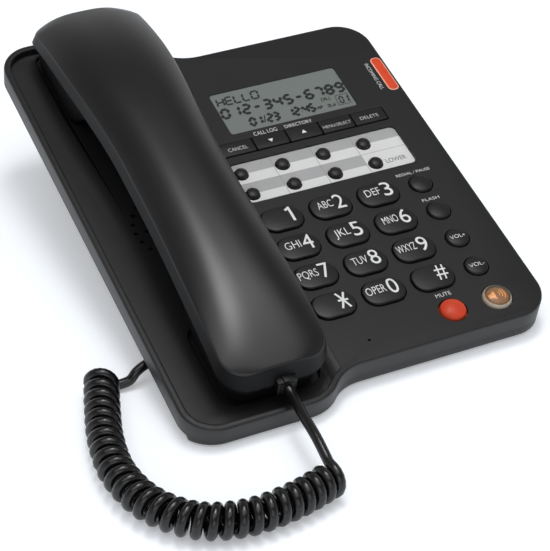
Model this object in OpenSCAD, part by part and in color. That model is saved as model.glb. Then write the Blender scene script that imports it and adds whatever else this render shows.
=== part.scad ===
// Corded desk speakerphone: a sloped base with keys and a display, a lift-off handset and a curly cord.
// Millimetres. +X points from the handset to the keys, +Y away from the user, +Z up from the table.

/* [Base] */
// Space from the base's left edge to the handset
bay_left = 13; // [10:0.5:17]
// Space from the handset to the edge of the key side
bay_right = 3; // [2:0.25:5]
// Space from the handset's mouth end to the front of the base
bay_front = 8; // [6:0.5:12]
// Space from the handset's ear end to the rear of the base
bay_rear = 2; // [1.5:0.25:5]
// Space from the right column of keys to the base's right edge
deck_side = 14.4; // [12:0.2:18]
// Space from the display window to the rear edge of the key side
deck_rear = 24.4; // [20:0.2:30]
// How far the key side stops short of the handset side at the front
front_step = 11; // [7:0.5:15]
// Slope of the panel in degrees
panel_tilt = 13; // [11:0.5:15]
// Height of the rim's front edge above the table
front_rim_h = 9.5; // [9.25:0.25:12]
// Depth of the upper cover's skirt, square to the panel
skirt_h = 7; // [6.9:0.1:8]
// Thickness of the lower cover's lip under the skirt
lip_t = 1.2; // [1:0.1:2]
// Thickness of the panel
top_t = 2; // [1.6:0.1:2.1]
// Thickness of the covers' walls and floor
wall = 2; // [1.6:0.1:2.4]
// Radius of the outer corners in plan
corner_r = 14; // [10:0.5:16]
// Radius of the two curves where the handset side steps out at the front
step_r = 17; // [16:0.5:20]
// Distance from the handset's middle to where those curves start
step_off = 10; // [6:0.5:12]
// Radius of the two curves where the handset side steps out at the rear
rear_step_r = 22; // [21:0.5:25]
// Distance from the handset's middle to where those curves start
rear_step_off = 2; // [-2:0.5:4]

/* [Lower cover] */
// Inset of the lower cover's sides at the front
tub_front_in = 0.6; // [0.4:0.1:1.5]
// How much each side draws in per millimetre towards the rear
tub_taper = 0.13; // [0.1:0.005:0.14]
// Gap from the rim's rear edge in to the lower cover's rear wall
tub_rear_in = 4; // [3:0.5:8]
// Radius of the lower cover's rear corners
tub_r = 12; // [8:0.5:14]
// Height of the rubber feet
foot_h = 1; // [0.8:0.1:1.2]
// Radius of the rubber feet
foot_r = 6; // [4:0.5:7]

/* [Cradle] */
// Width of the rim strip round the cradle
rim_w = 2.8; // [2.4:0.1:4]
// Depth of the cradle floor under the panel
floor_d = 3; // [2:0.1:3.2]
// Depth of the two wells that take the handset's ends
well_d = 5; // [4.6:0.1:5.2]
// Thickness of the cradle floor
floor_t = 1.6; // [1.2:0.1:1.6]
// Radius of the soft step between cradle and panel
slope_r = 9; // [6:0.5:11]
// Gap between the handset's ends and the wells
well_gap = 1.8; // [1.2:0.1:2.2]

/* [Handset] */
// Length of the handset
handset_len = 204; // [196:1:206]
// Half width at the ear end
ear_hw = 24; // [22:0.25:24.5]
// Half width at the grip
grip_hw = 20.6; // [18:0.2:21]
// Half width at the mouth end
mouth_hw = 21.8; // [20:0.2:22.6]
// Corner radius at the ear end
ear_r = 8; // [6:0.5:12]
// Corner radius at the mouth end
mouth_r = 16; // [13:0.5:18]
// Height of the side edges at the middle of the grip, over the panel
edge_grip = 21.5; // [20:0.25:24]
// Rise of the side edges from the middle to the ear end, were they straight
edge_lean = 3.2; // [2:0.2:4]
// How far the side edges bend down at the ear end
ear_fall = 14.6; // [13:0.2:15.6]
// How far the side edges bend down at the mouth end
mouth_fall = 5.6; // [4:0.2:6.4]
// Crown of the back over its side edges at the grip
crown_grip = 6.5; // [4:0.25:8]
// Crown of the back over its side edges at the mouth end
crown_mouth = 2; // [1:0.25:4]
// Crown of the back over its side edges at the ear end
crown_ear = 5; // [3:0.25:6]
// Depth of the back shell's side walls at the mouth end
side_mouth = 6.5; // [6:0.25:7.5]
// Depth of the back shell's side walls at the grip
side_grip = 5; // [4:0.25:6]
// Depth of the back shell's side walls at the ear end
side_ear = 4; // [3.5:0.25:5]
// Height of the lip round the face shell
face_lip = 2.4; // [2:0.1:3]
// Height of the grip's underside over the panel
grip_under = 10; // [8.5:0.25:11]
// Thickness of the handset's shells
shell_t = 2; // [1.6:0.1:2.2]

/* [Keys] */
// Distance between the dial keys' columns
dial_px = 21; // [20:0.1:21.5]
// Distance between the dial keys' rows
dial_py = 15.75; // [15:0.05:16]
// Width of a dial key
dial_w = 17; // [14:0.25:17.5]
// Height of a dial key on the panel
dial_h = 12; // [10:0.25:12.5]
// Corner radius of a dial key
dial_r = 5.4; // [3:0.1:5.9]
// Radius of the round function keys
func_r = 4.65; // [4:0.05:4.8]
// Radius of the mute key
mute_r = 5.3; // [4.5:0.05:5.6]
// Radius of the speaker key
speaker_r = 5.8; // [5:0.05:6]
// Radius of the memory buttons
mem_r = 2.7; // [2:0.05:3]
// Distance between the memory buttons in a row
mem_px = 18.1; // [17.5:0.1:18.4]
// Distance between the two rows of memory buttons
mem_py = 11.6; // [11:0.1:12]
// Height of a menu key on the panel
menu_h = 7; // [6:0.25:7.5]
// How far the dial keys stand over the panel
key_rise = 1.6; // [1:0.1:2.2]
// Travel of every key
key_travel = 0.9; // [0.6:0.05:1]
// Clearance round every key in its hole
key_clear = 0.45; // [0.35:0.05:0.6]

/* [Display] */
// Width of the display window
lcd_w = 57; // [50:0.5:60]
// Height of the display window
lcd_h = 24.5; // [22:0.5:26]
// Length of the ring lamp's lens
lamp_len = 21; // [16:0.5:24]
// Width of the ring lamp's lens
lamp_w = 4.9; // [4:0.1:5.2]

/* [Cord] */
// Thickness of the cord
cord_d = 3.2; // [2.8:0.1:3.4]
// Outer diameter of the curls
curl_d = 13.5; // [12.5:0.1:14]
// Number of curls, a whole number and a half
curl_n = 28.5; // [24.5:1:29.5]
// Width of the modular plugs
plug_w = 7.6; // [7:0.1:7.8]
// Height of the modular plugs
plug_t = 6.2; // [5.8:0.1:6.4]

/* [Hidden] */
$fn = 48;

// Colours
black_case = [0.16, 0.16, 0.17];
black_key = [0.13, 0.13, 0.14];
black_handset = [0.19, 0.19, 0.2];
black_cord = [0.05, 0.05, 0.055];
rubber_grey = [0.1, 0.1, 0.1];
steel = [0.7, 0.7, 0.72];
board_green = [0.1, 0.35, 0.2];
mat_grey = [0.55, 0.55, 0.56];
glass_grey = [0.48, 0.51, 0.49];
card_white = [0.9, 0.9, 0.9];
clear_tint = [0.9, 0.95, 1, 0.35];
lamp_red = [0.87, 0.28, 0.1];
mute_red = [0.86, 0.3, 0.22];
amber = [0.86, 0.58, 0.22];

// Small overlap that keeps cuts clean, and how far cuts reach past a face
eps = 0.02;
past = 1;
// Gap left between parts that rest on each other
seat_gap = 0.3;
// Gap left between faces that touch on the real part
face_gap = 0.1;

// Columns: the handset's bay at the left, then the keys, then the side strip
key_in = 1.25;
func_px = 19.1;
func_in = 0.1;
keys_w = dial_w / 2 + 2 * dial_px + func_px + func_r + func_in;
body_w = bay_left + 2 * ear_hw + bay_right + key_in + keys_w + deck_side;
body_r = body_w / 2;
handset_x = -body_r + bay_left + ear_hw;
slope_x = handset_x + ear_hw + bay_right;
step_x = handset_x + step_off;
rear_step_x = handset_x + rear_step_off;
dial_x = slope_x + key_in + dial_w / 2;
func_x = dial_x + 2 * dial_px + func_px;

// Rows along the slope, from the front edge to the rear edge of the key side
cradle_len = handset_len + bay_front + bay_rear;
q_front = -cradle_len / 2;
q_rear = cradle_len / 2;
kp_front = q_front + front_step;
low_row_in = 11.75;
low_row_gap = 16.9;
low_row_q = kp_front + low_row_in;
dial_q = low_row_q + low_row_gap + 3 * dial_py;
card_gap = 6.2;
card_below = 4.8;
card_above = 5.8;
card_q0 = dial_q + dial_h / 2 + card_gap;
mem_q = card_q0 + card_below + mem_py;
card_q1 = mem_q + card_above;
menu_below = 4.2;
menu_q0 = card_q1 + menu_below;
lcd_below = 4.6;
lcd_q = menu_q0 + menu_h + lcd_below + lcd_h / 2;
kp_rear = lcd_q + lcd_h / 2 + deck_rear;

// Frame of the sloped panel: its middle lies over the middle of the base
slab_h = skirt_h + lip_t;
panel_z0 = front_rim_h - q_front * sin(panel_tilt);
panel_y0 = -slab_h * sin(panel_tilt) / 2;

// Lower cover
tub_floor_z = foot_h + wall;
rim_front_y = panel_y(q_front, 0);
tub_reach = 30;
tub_rear_left = panel_y(q_rear, -slab_h) - tub_rear_in;
tub_rear_right = panel_y(kp_rear, -slab_h) - tub_rear_in;
tub_step_in = 17;
tub_step_x = slope_x + tub_step_in;
tub_step_run = 28;
tub_side_turn = atan(tub_taper);

// Card, menu keys and display over the dial keys
card_in = 0.45;
panel_x0 = dial_x - dial_w / 2 + card_in;
panel_x1 = func_x + func_r + func_in;
mem_in = 0.5;
mem_x = panel_x0 + mem_r + mem_in;
card_r = 2.4;
card_pocket = 1.1;
card_t = 0.3;
card_cover_t = 0.7;
menu_n = 5;
menu_pitch = (panel_x1 - panel_x0) / menu_n;
menu_gap = 0.6;
menu_rise = 0.5;
menu_r = 0.6;
lcd_x = (panel_x0 + panel_x1) / 2;
lcd_r = 1.2;
lcd_sink = 0.7;
window_t = 1.1;
window_fit = 0.1;
pocket_fit = 0.1;
lamp_in = 1.1;
lamp_up = 1.65;
lamp_x = body_r - lamp_in - lamp_w;
lamp_q = lcd_q + lamp_up;
lamp_r = 2.2;
lamp_depth = 3;
lamp_rise = 0.2;

// Layers under the panel
key_lift_gap = 0.3;
flange_t = 0.9;
flange_w = 0.9;
flange_top = -top_t - key_lift_gap;
flange_low = flange_top - flange_t;
dome_gap = 0.15;
dome_top = flange_low - key_travel - dome_gap;
dome_r = 2;
dome_h = 0.5;
mat_top = dome_top - dome_h;
mat_t = 0.7;
mat_in = 1;
board_top = mat_top - mat_t;
board_t = 1;
board_in = 2.5;
board_side = 4;
board_front = 4;
board_rear = 5;
board_x0 = slope_x + board_in;
board_x1 = body_r - wall - board_side;
board_q0 = kp_front + wall + board_front;
board_q1 = lcd_q + lcd_h / 2 + board_rear;
lcd_module_over = 2.6;
lcd_module_low = board_top + face_gap;

// Crowns of the round keys
dial_crown_r = 55;
func_crown_r = 18;
func_rise = 1.4;
mute_crown_r = 9;
mute_rise = 2.4;
speaker_crown_r = 10;
speaker_rise = 2.6;
mem_crown_r = 6;
mem_rise = 1.2;

// Handset stations
hs_front = q_front + bay_front;
hs_rear = hs_front + handset_len;
hs_mid = (hs_front + hs_rear) / 2;
hs_n = 28;
hs_crown_n = 10;
hs_draft = 1.4;
hs_foot = 2.6;
hs_lift = 0.4;
hs_lump = well_d - hs_lift;
ear_from = 0.7;
ear_to = 0.8;
mouth_from = 0.3;
mouth_to = 0.17;
ear_flare_from = 0.52;
ear_flare_run = 0.33;
mouth_flare_from = 0.42;
mouth_flare_run = 0.32;
crown_power = 3;
ear_power = 3;
mouth_power = 6;
// Face shell: set-backs of its lip, its pads and their ends
lip_in = 0.3;
pad_in = 2.5;
knee_share = 0.3;
chin_from = 1;
chin_run = 5;
chin_thin = 0.4;
face_end = 8;
ear_in = 25.7;
mouth_in = 20.6;
ear_q = hs_rear - ear_in;
mouth_q = hs_front + mouth_in;
ear_hole_r = 1;
ear_hole_pitch = 3.6;
capsule_r = 13;
capsule_h = 6;
hs_mic_r = 4.8;
hs_mic_h = 4;

// Wells in the cradle
ear_well_lead = 6.5;
mouth_well_lead = 8;
ear_well_q0 = hs_y(ear_to) - ear_well_lead;
mouth_well_q1 = hs_y(mouth_to) + mouth_well_lead;
ear_well_hw = ear_hw - hs_draft - pad_in + well_gap;
mouth_well_hw = mouth_hw - hs_draft - pad_in + well_gap;
well_end_in = 2.6;
well_ledge = 0.8;
mouth_well_q0 = hs_front + well_end_in;
ear_well_q1 = q_rear - rim_w - well_ledge;
well_r = 6;

// Loudspeaker under the cradle
grille_q = -6;
grille_pitch = 4.6;
grille_hole_r = 0.95;
grille_rings = 4;
speaker_cone_r = 19;
speaker_front = -floor_d - floor_t - face_gap;
speaker_deep = 10;
speaker_edge_t = 1.5;
magnet_r = 10.5;
magnet_h = 6;
basket_h = 4;
basket_r = 11.4;
cone_deep = 3.5;
cone_low_r = 5.7;
cone_rim = 2.3;

// Hook plunger under the mouth end
hook_back = 7.2;
hook_q = mouth_q + hook_back;
hook_w = 12;
hook_len = 6;
hook_deep = 7;
hook_clear = 0.4;
hook_foot_w = 1.5;
hook_foot_t = 1.2;

// Jacks and plugs
jack_wall = 1.5;
plug_clear = 0.15;
plug_len = 11;
plug_out = 2.6;
jack_thin = 0.2;
jack_back = 48.2;
jack_sink = 0.7;
base_jack_y = rim_front_y + jack_back;
base_jack_z = tub_floor_z + jack_wall + plug_t / 2 + face_gap;
base_jack_x = tub_left(base_jack_y) + jack_sink;
hs_jack_x = 1.5;
hs_socket_back = 4.3;
hs_jack_z = 6;
line_jack_x = lcd_x;
line_jack_z = 14;
line_w = 9.7;
line_t = 6.9;
line_deep = 10;

// Ringer switch behind the base jack
switch_back = 11;
switch_up = 3.4;
switch_plate_t = 1;
switch_gap = 0.4;
switch_y = base_jack_y + switch_back;
switch_z = tub_floor_z + switch_up;
switch_travel = 4;
switch_nub = 2.4;
switch_out = 2.6;

// Screws: place across and along the base
screw_side = 20;
screw_front = 22;
screw_rear = 38;
screw_row = 1;
screw_behind = 5;
screws = [
  [handset_x - screw_side, panel_y(grille_q - screw_front, 0)],
  [handset_x, panel_y(grille_q + screw_rear, 0)],
  [dial_x + dial_px, panel_y(low_row_q + screw_row, 0)],
  [lcd_x + lcd_w / 4, panel_y(board_q1 + screw_behind, 0)]
];
post_r = 4.4;
boss_r = 3.4;
boss_clear = 1.2;
screw_head_r = 2.8;
screw_head_h = 1.9;
screw_r = 1.4;
screw_sink = 1;
screw_bite = 6;
screw_tip_gap = 0.3;
boss_roof = 0.6;
screw_split = 0.45;
screw_fit = 0.1;
screw_clear = 0.2;

// Microphone of the speakerphone, under the panel's front edge
mic_in = 9;
mic_x = dial_x + dial_px / 4;
mic_q = kp_front + mic_in;
mic_r = 3;
mic_hole_r = 0.6;

// Feet: place across and along the base
foot_in = 19;
foot_front = 21;
foot_rear = 16;
foot_y = [rim_front_y + foot_front, tub_rear_left - foot_rear, tub_rear_right - foot_rear];
feet = [
  [-body_r + foot_in, foot_y[0]], [body_r - foot_in, foot_y[0]],
  [tub_left(foot_y[1]) + foot_rear, foot_y[1]], [-tub_left(foot_y[2]) - foot_rear, foot_y[2]]
];

// Cord: middle line of the curls on the table, and the two straight ends
curl_line = [
  [-93, -57], [-99, -74], [-104, -91], [-106, -109], [-102, -127], [-91, -141], [-75, -147], [-57, -146],
  [-40, -141.5]
];
curl_r = (curl_d - cord_d) / 2;
curl_z = curl_d / 2 + face_gap;
curl_rings = 8;
curl_ease = 0.12;
curl_sides = 6;
lead_sides = 8;

// Length across an S-shaped step made of two equal arcs
function s_run(step, r) = sqrt(4 * r * step - step * step);
// World place of a point on the panel's frame
function panel_y(q, h) = q * cos(panel_tilt) - h * sin(panel_tilt) + panel_y0;
function panel_z(q, h) = q * sin(panel_tilt) + h * cos(panel_tilt) + panel_z0;
// Left wall of the lower cover at a place along the base
function tub_left(y) = -body_r + tub_front_in + (y - rim_front_y) * tub_taper;
function unit(v) = v / norm(v);
function turn2(v, a) = [v[0] * cos(a) - v[1] * sin(a), v[0] * sin(a) + v[1] * cos(a)];
function smooth(t) = let(k = min(1, max(0, t))) k * k * (3 - 2 * k);

// Arc that rounds the corner b between its neighbours a and c
function corner_arc(a, b, c, r, n) =
  let(
    u = unit(a - b),
    v = unit(c - b),
    half = acos(u * v) / 2,
    o = b + unit(u + v) * (r / sin(half)),
    s = b + u * (r / tan(half)) - o,
    way = sign(cross(b - a, c - b))
  ) [for (i = [0:n]) o + turn2(s, way * (180 - 2 * half) * i / n)];

// Handset: share of the length from the mouth end, and the place of a share
function hs_u(y) = (y - hs_front) / handset_len;
function hs_y(u) = hs_front + u * handset_len;
function hs_end(u, mouth, grip, ear) =
  grip + (u < 0.5 ? mouth - grip : ear - grip) * pow(abs(2 * u - 1), 2);
function hs_edge(y) =
  let(s = (y - hs_mid) / (hs_rear - hs_mid))
  edge_grip + edge_lean * s - (s > 0 ? ear_fall * pow(s, ear_power) : mouth_fall * pow(-s, mouth_power));
function hs_crown(y) = hs_end(hs_u(y), crown_mouth, crown_grip, crown_ear);
function hs_side(y) = hs_end(hs_u(y), side_mouth, side_grip, side_ear);
function hs_part(y) = hs_edge(y) - hs_side(y);
function hs_lip(y) = hs_part(y) - face_lip;
// Underside of the face: the grip, the two pads and the chins that rise from them to the lip
function hs_sole(y) =
  let(u = hs_u(y), k = max(smooth((u - ear_from) / (ear_to - ear_from)),
                           smooth((mouth_from - u) / (mouth_from - mouth_to))))
  grip_under - (grip_under + hs_lump) * k;
function hs_under(y) =
  let(k = smooth((min(y - hs_front, hs_rear - y) - chin_from) / chin_run))
  hs_lip(y) - chin_thin + (hs_sole(y) - hs_lip(y) + chin_thin) * k;
function hs_loss(d, r) = d >= r ? 0 : r - sqrt(max(0, r * r - pow(r - d, 2)));
function hs_half(y) =
  let(
    u = hs_u(y),
    w = grip_hw + (ear_hw - grip_hw) * smooth((u - ear_flare_from) / ear_flare_run)
      + (mouth_hw - grip_hw) * smooth((mouth_flare_from - u) / mouth_flare_run)
  ) w - hs_loss(y - hs_front, mouth_r) - hs_loss(hs_rear - y, ear_r);
// Places of the cross-sections, closer together near the ends
function hs_rows(t) = [for (i = [0:hs_n]) hs_mid - (handset_len / 2 - t) * cos(180 * i / hs_n)];
// Cross-section of the back shell, t inside its outer face
function back_ring(y, t) =
  let(
    w = hs_half(y) - t,
    e = hs_edge(y) - t,
    c = hs_crown(y),
    low = t > 0 ? hs_part(y) - past : hs_part(y),
    wl = w - hs_draft
  ) concat(
    [[wl, y, low]],
    [
      for (i = [0:hs_crown_n])
        let(k = cos(180 * i / hs_crown_n)) [w * k, y, e + c * (1 - pow(abs(k), crown_power))]
    ],
    [[-wl, y, low]]
  );
// Cross-section of the face shell, t inside its outer face
function face_ring(y, t) =
  let(
    w = hs_half(y) - hs_draft - t,
    p = t > 0 ? hs_part(y) + past : hs_part(y),
    b = hs_under(y) + t,
    lip = hs_lip(y),
    knee = b + (lip - b) * knee_share,
    fit = min(1, w / (2 * (pad_in + hs_foot))),
    right = [[w - (pad_in + hs_foot) * fit, b], [w - pad_in * fit, knee], [w - lip_in, lip], [w, p]]
  ) concat(
    [for (i = [3:-1:0]) [-right[i][0], y, right[i][1]]],
    [for (r = right) [r[0], y, r[1]]]
  );
// Triangles over n rings of m points, with both ends closed
function loft_faces(n, m) = concat(
  [for (i = [0:n - 2], j = [0:m - 1]) [i * m + j, i * m + (j + 1) % m, (i + 1) * m + j]],
  [for (i = [0:n - 2], j = [0:m - 1]) [i * m + (j + 1) % m, (i + 1) * m + (j + 1) % m, (i + 1) * m + j]],
  [for (j = [1:m - 2]) [0, j + 1, j]],
  [for (j = [1:m - 2]) [(n - 1) * m, (n - 1) * m + j, (n - 1) * m + j + 1]]
);

// Smooth curve through the points of a list, at a share of one of its stretches
function curve_pick(l, i) = l[max(0, min(len(l) - 1, i))];
function curve_at(l, k) =
  let(
    i = min(len(l) - 2, floor(k)),
    t = k - i,
    b = l[i],
    c = l[i + 1],
    a = i == 0 ? 2 * b - c : curve_pick(l, i - 1),
    d = i == len(l) - 2 ? 2 * c - b : curve_pick(l, i + 2)
  ) 0.5 * (2 * b + (c - a) * t + (2 * a - 5 * b + 4 * c - d) * t * t + (3 * b - a - 3 * c + d) * t * t * t);
// Point of the curls after a share of their length
function curl_point(k) =
  let(
    n = len(curl_line) - 1,
    at = curve_at(curl_line, k * n),
    ahead = unit(curve_at(curl_line, min(n, k * n + 0.01)) - curve_at(curl_line, max(0, k * n - 0.01))),
    turn = 360 * curl_n * (k + curl_ease * (k * k - k))
  ) [
    at[0] + curl_r * ahead[1] * sin(turn),
    at[1] - curl_r * ahead[0] * sin(turn),
    curl_z - curl_r * cos(turn)
  ];
// Middle of the curls at a share of their length
function curl_mid(k) = let(at = curve_at(curl_line, k * (len(curl_line) - 1))) [at[0], at[1], curl_z];
curl_steps = round(curl_n * curl_rings);
curl_inner = [for (i = [0:curl_steps]) curl_point(i / curl_steps)];
curl_head = unit(curl_inner[1] - curl_inner[0]);
curl_tail = unit(curl_inner[curl_steps] - curl_inner[curl_steps - 1]);
flat_head = unit([curl_head[0], curl_head[1], 0]);
flat_tail = unit([curl_tail[0], curl_tail[1], 0]);
// The curls start and end with a straight stretch of one thickness
curl_start = curl_inner[0] - flat_head * cord_d;
curl_stop = curl_inner[curl_steps] + flat_tail * cord_d;
curl_path = concat([curl_start], curl_inner, [curl_stop]);
// Directions out of the curls at the points of that path
curl_out = [
  for (i = [-1:curl_steps + 1])
    let(j = max(0, min(curl_steps, i))) curl_inner[j] - curl_mid(j / curl_steps)
];

// Straight cord ends: first and last points follow the plugs and the curls
base_lead_from = [base_jack_x - plug_out - seat_gap, base_jack_y, base_jack_z];
base_lead_to = curl_start - flat_head * seat_gap;
base_lead_path = [
  base_lead_from, base_lead_from - [cord_d, 0, 0], [-79.5, -57.8, 6.2], [-82.5, -58.2, 3.4],
  base_lead_to - flat_head * cord_d + [0, 0, seat_gap], base_lead_to
];
hs_plug_tip = [
  handset_x + hs_jack_x,
  panel_y(hs_front - plug_out - seat_gap, hs_jack_z),
  panel_z(hs_front - plug_out - seat_gap, hs_jack_z)
];
hs_lead_out = [0, -cos(panel_tilt), -sin(panel_tilt)];
handset_lead_from = curl_stop + flat_tail * seat_gap;
handset_lead_path = [
  handset_lead_from, handset_lead_from + flat_tail * cord_d, [-39.8, -127, 14.2], [-39.4, -117, 15],
  hs_plug_tip + hs_lead_out * 1.5 * cord_d, hs_plug_tip
];

// Ring of points square to a path at its point i, turned so that its first side faces away from up
function ring_at(path, i, r, sides, up) =
  let(
    n = len(path),
    t = unit(path[min(n - 1, i + 1)] - path[max(0, i - 1)]),
    s = unit(cross(t, up)),
    u = cross(s, t)
  ) [for (j = [0:sides - 1]) path[i] + r * (cos(360 * j / sides) * s + sin(360 * j / sides) * u)];

// Least gap of the curls to themselves, from points at least half a curl apart
curl_gap = min([
  for (i = [0:curl_steps])
    for (j = [i + curl_rings / 2:min(curl_steps, i + 2 * curl_rings)]) norm(curl_inner[i] - curl_inner[j])
]) - cord_d;
echo(least_gap_between_curls = curl_gap);

// Places things on the sloped panel
module on_panel() {
  translate([0, panel_y0, panel_z0]) rotate([panel_tilt, 0, 0]) children();
}

// Rounded rectangle between two corners
module rounded(x0, x1, y0, y1, r) {
  translate([x0 + r, y0]) square([x1 - x0 - 2 * r, y1 - y0]);
  translate([x0, y0 + r]) square([x1 - x0, y1 - y0 - 2 * r]);
  for (x = [x0 + r, x1 - r], y = [y0 + r, y1 - r]) translate([x, y]) circle(r);
}

// Rounded rectangle round its own middle
module pad(w, h, r) {
  rounded(-w / 2, w / 2, -h / 2, h / 2, r);
}

// Outline of the base in plan, t inside its edge
module plan(t = 0) {
  left = -body_r + t;
  near = q_front + t;
  far = q_rear - t;
  rounded(left, step_x, near, far - corner_r, corner_r - t);
  rounded(left, rear_step_x, near + corner_r, far, corner_r - t);
  translate([step_x - corner_r, near]) square([corner_r, -near]);
  translate([rear_step_x - corner_r, 0]) square([corner_r, far]);
  rounded(rear_step_x, body_r - t, kp_front + t, kp_rear - t, corner_r - t);
  mirror([0, 1]) plan_step(step_x, -q_front, -kp_front, step_r, t);
  plan_step(rear_step_x, q_rear, kp_rear, rear_step_r, t);
}

// S-shaped step of two arcs from the edge y1 at x to the edge y2, t inside it
module plan_step(x, y1, y2, r, t) {
  run = s_run(y1 - y2, r);
  bend = acos(1 - (y1 - y2) / (2 * r));
  n = 12;
  out = [for (i = [0:n]) let(a = bend * i / n) [(r - t) * sin(a), y1 - r + (r - t) * cos(a)]];
  in = [for (i = [n - 1:-1:0]) let(a = bend * i / n) [run - (r + t) * sin(a), y2 + r - (r + t) * cos(a)]];
  translate([x, 0]) polygon(concat([[0, 0]], out, in, [[run, 0]]));
}

// Slab of the base's plan between two depths under the panel
module plan_slab(low, high, t = 0) {
  translate([0, 0, low]) linear_extrude(high - low) plan(t);
}

// Room of the cradle over its floor, with the soft step towards the keys
module cradle_room() {
  run = s_run(floor_d, slope_r);
  bend = acos(1 - floor_d / (2 * slope_r));
  over = 5;
  n = 6;
  turns = [for (i = [0:n]) bend * i / n];
  foot = [for (a = turns) [slope_x - run + slope_r * sin(a), slope_r - floor_d - slope_r * cos(a)]];
  head = [for (i = [n - 1:-1:0]) [slope_x - slope_r * sin(turns[i]), slope_r * cos(turns[i]) - slope_r]];
  intersection() {
    plan_slab(-floor_d - past, over, rim_w);
    translate([0, q_rear, 0]) rotate([90, 0, 0]) linear_extrude(cradle_len)
      polygon(concat([[-body_r, -floor_d]], foot, head, [[slope_x, over], [-body_r, over]]));
  }
}

// Wells for the handset's ends, g wider all round
module wells(g) {
  ear = ear_well_hw + g;
  mouth = mouth_well_hw + g;
  rounded(handset_x - ear, handset_x + ear, ear_well_q0 - g, ear_well_q1 + g, well_r + g);
  rounded(handset_x - mouth, handset_x + mouth, mouth_well_q0 - g, mouth_well_q1 + g, well_r + g);
}

// Floor of the cradle under its room and wells
module cradle_pan() {
  intersection() {
    plan_slab(-well_d - floor_t, -top_t + eps, wall / 2);
    union() {
      translate([-body_r, q_front, -floor_d - floor_t])
        cube([body_r + slope_x, cradle_len, floor_d + floor_t]);
      translate([0, 0, -well_d - floor_t]) linear_extrude(well_d + floor_t) wells(floor_t);
    }
  }
}

// Holes of the loudspeaker in rings of six, twelve and so on
module grille_holes() {
  for (k = [0:grille_rings], i = [0:max(1, 6 * k) - 1])
    rotate([0, 0, 360 * i / max(1, 6 * k)])
      translate([k * grille_pitch, 0, 0])
        cylinder(r = grille_hole_r, h = 4 * floor_d, center = true, $fn = 16);
}

// Places of the keys on the panel
module at_dial(i) {
  translate([dial_x + dial_px * (i % 3), dial_q - dial_py * floor(i / 3), 0]) children();
}
module at_func(i) {
  translate([func_x, dial_q - dial_py * i, 0]) children();
}
module at_mem(i) {
  translate([mem_x + mem_px * (i % 4), mem_q - mem_py * floor(i / 4), 0]) children();
}
module at_menu(i) {
  translate([panel_x0 + menu_pitch * (i + 0.5), menu_q0 + menu_h / 2, 0]) children();
}
module at_mute() {
  translate([dial_x + 2 * dial_px, low_row_q, 0]) children();
}
module at_speaker_key() {
  translate([func_x, low_row_q, 0]) children();
}

// Every hole that a key goes through
module key_holes() {
  for (i = [0:11]) at_dial(i) pad(dial_w + 2 * key_clear, dial_h + 2 * key_clear, dial_r + key_clear);
  for (i = [0:3]) at_func(i) circle(func_r + key_clear);
  for (i = [0:7]) at_mem(i) circle(mem_r + key_clear);
  at_mute() circle(mute_r + key_clear);
  at_speaker_key() circle(speaker_r + key_clear);
  rounded(panel_x0 - key_clear, panel_x1 + key_clear, menu_q0 - key_clear, menu_q0 + menu_h + key_clear,
          menu_r + key_clear);
}

// Outline of the memory card's pocket, g wider all round
module card_plan(g) {
  rounded(panel_x0 - g, panel_x1 + g, card_q0 - g, card_q1 + g, card_r + g);
}

// Outline of the ring lamp's lens, g wider all round
module lamp_plan(g) {
  rounded(lamp_x - g, lamp_x + lamp_w + g, lamp_q - lamp_len / 2 - g, lamp_q + lamp_len / 2 + g, lamp_r + g);
}

// Height at which a screw's post meets its boss
function split_z(s) = tub_floor_z + screw_split * (screw_top(s) - tub_floor_z);
function screw_q(s) = (s[1] - panel_y0) / cos(panel_tilt);
function screw_top(s) =
  s[0] < slope_x ? panel_z(screw_q(s), -floor_d - floor_t / 2) : panel_z(screw_q(s), -top_t / 2);

// How deep a screw goes into its boss, short of the panel
function bite(s) = min(screw_bite, screw_top(s) - split_z(s) - boss_roof);

// Upper cover: panel, skirt, cradle and screw bosses
module base_top_cover() color(black_case) difference() {
  union() {
    on_panel() difference() {
      plan_slab(-skirt_h, 0);
      plan_slab(-skirt_h - eps, -top_t, wall);
    }
    on_panel() cradle_pan();
    for (s = screws) translate([s[0], s[1], split_z(s)]) cylinder(r = boss_r, h = screw_top(s) - split_z(s));
  }
  on_panel() {
    cradle_room();
    translate([0, 0, -well_d]) linear_extrude(well_d + past) wells(0);
    translate([0, 0, -top_t - eps]) linear_extrude(top_t + past) key_holes();
    translate([lcd_x, lcd_q, -top_t - eps]) linear_extrude(top_t + past) pad(lcd_w, lcd_h, lcd_r);
    translate([0, 0, -card_pocket]) linear_extrude(card_pocket + past) card_plan(pocket_fit);
    translate([0, 0, -lamp_depth]) linear_extrude(lamp_depth + past) lamp_plan(pocket_fit);
    translate([handset_x, grille_q, -floor_d]) grille_holes();
    translate([mic_x, mic_q, 0]) cylinder(r = mic_hole_r, h = 4 * top_t, center = true);
    translate([handset_x, hook_q, -well_d])
      cube([hook_w + 2 * hook_clear, hook_len + 2 * hook_clear, 4 * floor_t], center = true);
  }
  for (s = screws) translate([s[0], s[1], split_z(s) - eps])
    cylinder(r = screw_r + screw_fit, h = bite(s) + screw_tip_gap);
}

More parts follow.
